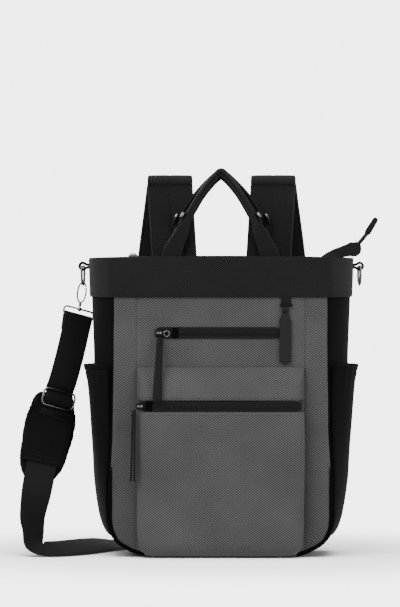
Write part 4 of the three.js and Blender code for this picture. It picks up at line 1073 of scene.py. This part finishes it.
def makeClipStrap():
    low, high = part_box("d_ring_left")
    ringX = -(low.x + high.x) / 2 / mm
    swivel = np.array([-ringX - math.sin(clip["hookTilt"]) * clip["swivelDrop"], clip["ringBack"],
                       clip["hookTop"] - math.cos(clip["hookTilt"]) * clip["swivelDrop"]])
    left = frameOf(swivel, clip["tilt"], clip["yaw"])
    floorZ = clip["ringWire"] / 2 + clip["ease"] + 1.8 + 0.3
    right = frameOf((clip["floorX"], clip["floorY"], floorZ), math.pi / 2, 0, math.pi / 2)
    barDrop = clip["ringHeight"] - clip["ringWire"]
    turn = clip["ringWire"] / 2 + clip["ease"] + 0.9
    weave = clip["sliderHeight"] / 2 - clip["ringWire"] / 2
    clear = clip["ringWire"] / 2 + clip["ease"] + 0.3 + 0.9

    def local(ring, y, z):
        return list(ring @ Vector((0, y, z)))

    def sideOf(ring):
        return list(ring.to_3x3() @ Vector((1, 0, 0)))

    def loop(ring):
        curve = [local(ring, turn * math.cos(a), -barDrop + turn * math.sin(a))
                 for a in np.linspace(0, math.pi, 7)]
        return [local(ring, 2.3 - turn, -barDrop - 20), local(ring, turn * 0.5, -barDrop - 9)] + curve

    drop = clip["sliderDrop"]
    threaded = [(-turn, -barDrop - clip["start"]), (-turn, -barDrop - clip["hem"]),
                (0, -(drop - weave - 12)), (clear, -(drop - weave)), (-clear, -(drop - 1.2)),
                (-clear, -(drop + 1.2)), (clear, -(drop + weave)), (clear * 0.5, -(drop + weave + 8))]
    start = [p + sideOf(left) for p in loop(left) + [local(left, y, z) for y, z in threaded]]
    lying = [list(np.array(r[:3]) * swivel[2]) + list(unit(r[3:])) for r in strapRows]
    end = [p + sideOf(right) for p in reversed(loop(right))]
    rows = catmull(start + lying + end, 5)
    at, side = rows[:, :3], rows[:, 3:]
    section = flatSection(13, 0.06, 0.0, (-0.86, 0.86), 0.2, 0.03)
    ribbon("clipStrap", at, side, clip["width"], clip["wall"], section, "webbing", ["clip_strap"])
    # Stitched hems, one row by each ring
    for ring in (left, right):
        for z in (-barDrop - 9, -barDrop - 13):
            across = [list(ring @ Vector((x, -turn - 0.9, z))) for x in np.linspace(-16, 16, 10)]
            stitch(across, list(ring.to_3x3() @ Vector((0, -1, 0))), "black", 0.1)

    # Pad behind the strap, and the sleeve that the strap runs under
    held = [local(left, clear, -far) + sideOf(left) for far in (drop - 6, drop + weave + 4)]
    path = catmull(held + lying[:3] + [list(mix(np.array(lying[2]), np.array(lying[3]), 0.25))], 6)
    shares = np.linspace(0, 1, 46)
    here = spread(path, shares)
    leftEdge, rightEdge = (np.interp(shares, padRows[:, 0], padRows[:, k]) for k in (1, 2))
    kernel = np.ones(5) / 5
    ends = [np.convolve(np.pad(edge, 2, mode="edge"), kernel, "valid") for edge in (leftEdge, rightEdge)]
    closing = np.sqrt(np.clip(1 - (np.abs(shares - 0.5) * 2) ** 14, 0.02, 1))
    leftEdge, rightEdge = (edge * (0.75 + 0.25 * closing) for edge in ends)
    middle = here[:, :3] + here[:, 3:] * ((leftEdge + rightEdge) / 2 * pad["width"])[:, None]
    wide, up = pathFrame(middle, here[:, 3:])
    back = 0.9 + 2.1 + pad["wall"] / 2
    thick = pad["wall"] * (0.5 + 0.3 * closing)
    body = flatSection(19, 0.1, 0.1)
    padPiece = ribbon("shoulderPad", middle - up * back, here[:, 3:], (rightEdge - leftEdge) * pad["width"],
                      thick, body, "padCloth", ["shoulder_pad"])
    swollen(padPiece, pad["cap"])
    for edge in (-0.86, 0.86):
        line = middle - up * back + wide * ((rightEdge - leftEdge) * pad["width"] / 2 * edge)[:, None]
        stitch(line[3:-3], up[3:-3], "black", pad["wall"] * 0.36)

    here = spread(path, np.linspace(0.18, 0.82, 26))
    wide, up = pathFrame(here[:, :3], here[:, 3:])
    lift = 0.9 + 0.9 + pad["sleeveWall"] / 2
    sleeve = here[:, :3] + up * lift
    cover = flatSection(15, 0.1, 0.0, (-0.88, 0.88), 0.3, 0.03)
    cover[:, 1] -= 1.2 * (np.abs(cover[:, 0]) > 0.86)
    ribbon("padSleeve", sleeve, here[:, 3:], pad["sleeveWidth"], pad["sleeveWall"], cover, "padCloth",
           ["pad_sleeve"])
    for row in (1, 3, -4, -2):
        across = [sleeve[row] + wide[row] * x for x in np.linspace(-22, 22, 14)]
        stitch(across, up[row], "black", pad["sleeveWall"] / 2)


makeClipStrap()
print("clip strap ready")

# Zips

zips = {
    "upper": {"from": -81.0, "to": 74.0, "z": 278.0, "y": -65.3, "width": 14.0, "sag": 0.0},
    "pocket": {"from": -100.0, "to": 100.0, "z": 188.0, "y": -89.7, "width": 13.4, "sag": 1.0},
}
zipWall = 1.5
toothPitch = 1.35
coilSize = (3.6, 0.95, 0.9)
teeth = []


def coil(points, across, out, width=5.2):
    # Two rows of coil that meet in the middle, each turn a short bar across the tape
    points = np.asarray(points, float)
    spots = spotsAlong(points, out, toothPitch)
    across = np.asarray(across, float)
    for i, (at, along, outward) in enumerate(spots):
        half = 1 if i % 2 else -1
        lean = unit(across + along * 0.28 * half)
        teeth.append([at + across * half * width * 0.16 + outward * 0.35, lean, outward])


def makeZips():
    for name, zipper in zips.items():
        x = np.linspace(zipper["from"], zipper["to"], 60)
        middle = (zipper["from"] + zipper["to"]) / 2
        share = (x - middle) / (zipper["to"] - middle)
        z = zipper["z"] - zipper["sag"] * (1 - share ** 2)
        line = np.stack([x, np.full(60, zipper["y"] - zipWall / 2), z], -1)
        width = zipper["width"] * np.sqrt(np.clip(1 - np.abs(share) ** 40, 0.3, 1))
        ribbon(f"{name}ZipTape", line, (0, 0, 1) + 0 * line, width, zipWall,
               flatSection(13, 0.08, 0.0, (-0.52, 0.52), 0.3, 0.04), "webbing", [f"{name}_zip_tape"])
        face = line - (0, zipWall / 2, 0)
        coil(face[2:-2], (0, 0, 1), (0, -1, 0))
        for edge in (-1, 1):
            row = face[1:-1] + (0, 0.2, edge * (zipper["width"] / 2 - 1.4))
            stitch(row, (0, -1, 0), "black", 0.05)

    for name, x, zipper in (("upper", -56.0, zips["upper"]), ("pocket", -88.0, zips["pocket"])):
        # Cloth end cover over the tape, beside the slider
        y, z = zipper["y"] - zipWall - 0.45, zipper["z"] - zipper["sag"] * 0.3
        line = [[x + s, y, z] for s in (-4, -2, 0, 2, 4)]
        ribbon(f"{name}ZipCover", line, [(0, 0, 1)] * 5, zipper["width"] * 0.97, 0.8, flatSection(9, 0.1),
               "blackPlain")


closure = {"level": 367.0, "right": 122.0, "left": -132, "inset": 3.3, "halfGap": 7.3, "tape": 14.0,
           "folds": (0.5, 30.0)}
tailLook = {"lean": (0.64, 0, 0.77), "steep": (0.52, 0, 0.85), "tabLength": 15.2, "tabWidth": 7.0,
            "tabWall": 1.9, "endLength": 24, "endWidth": 8, "endWall": 4.6, "thinned": 2.2}
wingLook = {"reach": 45, "rise": 22, "width": 14, "wall": 1.9}
wingRows = [
    # reach, rise and width as shares, and the turn about its length
    (0, 0.02, 1.0, 0.1), (0.2, 0.15, 1.0, 0.8), (0.48, 0.39, 0.95, 1.35),
    (0.8, 0.585, 1.1, 1.45), (0.99, 0.7, 1.42, 1.5), (1.12, 0.97, 0.5, 1.5),
]


def makeTopClosure():
    level, right = closure["level"], closure["right"]
    edge, gap = halfDepth - closure["inset"], closure["halfGap"]
    for label, low, high in (("front", -edge, -gap), ("back", gap, edge)):
        rows = []
        for y in np.linspace(low, high, 16):
            start = -sidePoint(level, y / halfDepth, 1, -0.8)[0]
            dip = 0.8 * math.sin(math.pi * (y - low) / (high - low))
            rows.append([[x, y, level - 0.1 - dip] for x in np.linspace(start, right, 70)])
        grid = wrinkled(np.array(rows), *closure["folds"], 40.0 + high)
        grid[..., 2] = np.minimum(grid[..., 2], level)
        shell(f"zipPanel_{label}", grid, 1.3, "blackPlain", [f"zip_panel_{label}"])
        row = 14 if label == "front" else 1
        stitch(grid[row], (0, 0, 1))
    x = np.linspace(closure["left"], right, 70)
    line = np.stack([x, 0 * x, np.full(70, level - 0.8)], -1)
    ribbon("mainZipTape", line, (0, 1, 0) + 0 * line, closure["tape"], 1.4,
           flatSection(13, 0.08, 0.0, (-0.52, 0.52), 0.3, 0.04), "webbing", ["main_zip_tape"])
    coil(line + (0, 0, 0.7), (0, 1, 0), (0, 0, 1), 6.0)

    # Loose end of the zip past the bag's right side
    rows = catmull([[right + 0.3 + x * wingLook["reach"], 0, level + z * wingLook["rise"],
                     0, math.cos(turn), math.sin(turn), width * wingLook["width"]]
                    for x, z, width, turn in wingRows], 8)
    ribbon("zipTailWing", rows[:, :3], rows[:, 3:6], rows[:, 6], wingLook["wall"],
           flatSection(13, 0.1, 0.0, (-0.84, 0.84), 0.3, 0.03), "blackTwill", ["zip_tail_wing"])
    wide, up = pathFrame(rows[:, :3], rows[:, 3:6])
    up = up * np.sign(up[:, 2:3] + 1e-6)
    for edge in (-0.84, 0.84):
        stitch(rows[2:-1, :3] + wide[2:-1] * (rows[2:-1, 6:7] / 2 * edge), up[2:-1], "black", 0.9)
    start = rows[-1, :3] + (-0.3, 0, 0.2)
    lean, steep = np.array(tailLook["lean"]), np.array(tailLook["steep"])
    tab = [start + lean * t for t in np.linspace(0, tailLook["tabLength"], 6)]
    ribbon("zipTailTab", tab, [(-0.4, 0.85, 0.33)] * 6, tailLook["tabWidth"], tailLook["tabWall"],
           flatSection(7, 0.15), "webbing", ["zip_tail_tab"])
    end = np.array([start + lean * 15.0 + steep * t for t in np.linspace(0, tailLook["endLength"], 9)])
    share = np.linspace(0, 1, 9)
    widths = tailLook["endWidth"] * np.sqrt(np.clip(1 - (2 * share - 1) ** 8, 0.35, 1))
    walls = tailLook["endWall"] - tailLook["thinned"] * share
    ribbon("zipTailEnd", end, [(-0.6, 0.72, 0.35)] * 9, widths, walls, flatSection(9, 0.12), "leather",
           ["zip_tail_end"])


makeZips()
makeTopClosure()
print("zips ready")

# Leather pulls, the bare key tab and the ring loops

pulls = {
    "upper": {"top": (-75.0, -70.7, 272.6), "bottom": (-78.0, -97.8, 194.0), "widths": (7.5, 12.0),
              "wall": 2.3, "side": (1, 0, 0)},
    "pocket": {"top": (-106.7, -94.1, 183.5), "bottom": (-108.2, -97.6, 95.5), "widths": (8.0, 11.0),
               "wall": 2.1, "side": (0, 1, 0)},
}
rivet = {"radius": 2.6, "height": 1.1}


def dome(name, at, out, radius, height):
    # Low round rivet cap
    at, out = np.asarray(at, float), unit(out)
    first = unit(np.cross(out, (0.3, 0.2, 0.93)))
    second = np.cross(out, first)
    angles = np.linspace(0, 2 * math.pi, 17)[:-1]
    rings = []
    for share, rise in ((0.95, -0.6), (1.0, 0.15), (0.92, 0.55), (0.65, 0.88), (0.25, 1.0)):
        lift = out * rise * height
        rings.append([at + (first * math.cos(a) + second * math.sin(a)) * radius * share + lift
                      for a in angles])
    tube(name, rings, "darkNickel")


def leatherStrip(name, points, side, widths, wall, nodeNames=(), material="leather"):
    points = np.asarray(points, float)
    side = np.asarray(side, float) + 0 * points
    wide, up = pathFrame(points, side)
    ribbon(name, points, side, widths, wall, flatSection(9, 0.14), material, nodeNames)
    return wide, up


def makePulls():
    for label, pull in pulls.items():
        top, bottom = np.array(pull["top"]), np.array(pull["bottom"])
        share = np.linspace(0, 1, 26)
        curve = (0, -1, 0) if label == "upper" else (-1, 0, 0)
        points = top + (bottom - top) * share[:, None]
        points = points + np.array(curve) * (2.0 * np.sin(math.pi * share) * (label == "upper"))[:, None]
        widths = pull["widths"][0] + (pull["widths"][1] - pull["widths"][0]) * share
        widths = widths * np.sqrt(np.clip(1 - np.abs(2 * share - 1) ** 30, 0.45, 1))
        if label == "upper":
            wide, up = leatherStrip("upperZipPull", points, pull["side"], widths, pull["wall"],
                                    ["upper_zip_pull"])
            face = points + up * np.sign(up[:, 1:2]) * -pull["wall"] / 2
            out = up * -np.sign(up[:, 1:2])
            dome("upperPullRivet", face[2], out[2], rivet["radius"], rivet["height"])
            for edge in (-0.72, 0.72):
                stitch((face + wide * (widths * edge / 2)[:, None])[4:-1], out[4:-1], "black", 0.05)
            continue
        # Two thin layers, seen edge on, that part a little towards the end
        for i, sign in enumerate((-1, 1)):
            apart = np.stack([sign * (1.25 + 0.9 * share ** 2), 0 * share, 0 * share], -1)
            nodeNames = ["pocket_zip_pull"] if i == 0 else ()
            leatherStrip(f"pocketZipPull_{i}", points + apart, pull["side"], widths, pull["wall"],
                         nodeNames)
        dome("pocketPullRivet", points[2] + (-2.3, 0, 0), (-1, 0, 0), rivet["radius"], rivet["height"])


keyTab = {"x": 80.0, "face": -67.2, "top": 310.1, "wall": 2.3}


def makeKeyTab():
    outline = np.array([(0, 4), (11, 4.3), (13.5, 5.6), (16, 7), (67, 7), (69, 6.2), (70, 4)])
    drop = np.concatenate([np.linspace(0, 10, 5), np.linspace(11, 17, 7), np.linspace(20, 66, 14),
                           np.linspace(67, 70, 5)])
    points = [[keyTab["x"], keyTab["face"] - keyTab["wall"] / 2, keyTab["top"] - d] for d in drop]
    widths = 2 * np.interp(drop, outline[:, 0], outline[:, 1])
    leatherStrip("keyTab", points, (1, 0, 0), widths, keyTab["wall"], ["key_tab"], material="tagLeather")
    face = keyTab["face"] - keyTab["wall"]
    dome("keyTabRivet", (keyTab["x"], face - 0.1, keyTab["top"] - 5.5), (0, -1, 0), 2.4, 1.0)
    low, high = boxOf("key_loop")
    middle = (low + high) / 2
    line = [[middle[0], middle[1] + 0.4, z] for z in np.linspace(low[2], high[2], 6)]
    ribbon("keyLoop", line, [(1, 0, 0)] * 6, high[0] - low[0], 2.2, flatSection(9, 0.1), "webbing",
           ["key_loop"])


def makeRingLoops():
    for label, sign in (("left", -1), ("right", 1)):
        low, high = boxOf(f"ring_loop_{label}")
        turn = (high[2] - low[2]) / 2 - 0.9
        outer = high[0] if sign > 0 else low[0]
        seat = low[0] if sign > 0 else high[0]
        level, y = (low[2] + high[2]) / 2, (low[1] + high[1]) / 2
        centre = outer - sign * (turn + 0.9)
        turn += 0.8
        line = [[seat, y, level + 1.75], [mix(seat, centre, 0.4), y, level + 1.8]]
        line += [[centre + sign * turn * math.cos(a), y, level + turn * math.sin(a)]
                 for a in np.linspace(math.pi / 2, -math.pi / 2, 9)]
        line += [[mix(seat, centre, 0.4), y, level - 1.8], [seat, y, level - 1.75]]
        line = catmull(line, 3)
        ribbon(f"ringLoop_{label}", line, (0, 1, 0) + 0 * line, 14.0, 3.2, flatSection(9, 0.12),
               "webbing", [f"ring_loop_{label}"])


def makeSliders():
    # Bridges on the three zip sliders, over which the pulls hang
    along = np.array([1.0, 0, 0])
    for label in ("upper", "pocket", "main"):
        low, high = boxOf(f"{label}_zip_slider")
        centre = (low + high) / 2
        out = np.array([0, 0, 1.0]) if label == "main" else np.array([0, -1.0, 0])
        reach = abs(np.dot(high - low, out)) / 2
        arc = [centre + out * (reach - 0.8 + 1.9 * math.sin(a)) - along * 3.4 * math.cos(a)
               for a in np.linspace(0, math.pi, 11)]
        side = np.cross(out, along)
        ribbon(f"{label}SliderBridge", arc, [side] * 11, 2.6, 1.1, flatSection(7, 0.3), "polishedNickel")


makePulls()
makeKeyTab()
makeRingLoops()
makeSliders()

# Hard pieces keep their solids: bent wires are only shaded smooth, the others get rounded edges

roundWires = ["d_ring_left", "d_ring_right", "hook_left", "hook_right", "hook_gate_left", "hook_gate_right",
              "hook_ring_left", "hook_ring_right", "strap_slider", "upper_zip_ring"]
# Width of each rounded edge
softEdges = {"main_zip_slider": 2.2, "upper_zip_slider": 2.2, "pocket_zip_slider": 2.2, "key_bar": 0.8}
for side in ("left", "right"):
    for hardPiece in ("ladder_lock", "handle_stud_front", "handle_stud_back"):
        softEdges[f"{hardPiece}_{side}"] = 0.7


def dressHardPieces():
    for name in roundWires:
        node = nodes[name]
        weld = node.modifiers.new("weld", "WELD")
        weld.merge_threshold = 0.01 * mm
        node.data.polygons.foreach_set("use_smooth", [True] * len(node.data.polygons))
    for name, width in softEdges.items():
        node = nodes[name]
        weld = node.modifiers.new("weld", "WELD")
        weld.merge_threshold = 0.01 * mm
        bevel = node.modifiers.new("bevel", "BEVEL")
        bevel.width = width * mm
        bevel.segments = 3
        bevel.limit_method = "ANGLE"
        bevel.angle_limit = math.radians(40)


dressHardPieces()
for darkPiece in ("key_bar", "upper_zip_slider", "pocket_zip_slider"):
    nodes[darkPiece].data.materials[0] = materials["darkNickel"]

# All small repeated shapes, one piece for each kind

placeShapes("stitchesBlack", stitches["black"], stitchSize, "thread")
placeShapes("stitchesGrey", stitches["grey"], stitchSize, "greyThread")
placeShapes("zipCoils", teeth, coilSize, "nylonCoil", 0.02)
print("details ready", len(stitches["black"]), len(stitches["grey"]), len(teeth))
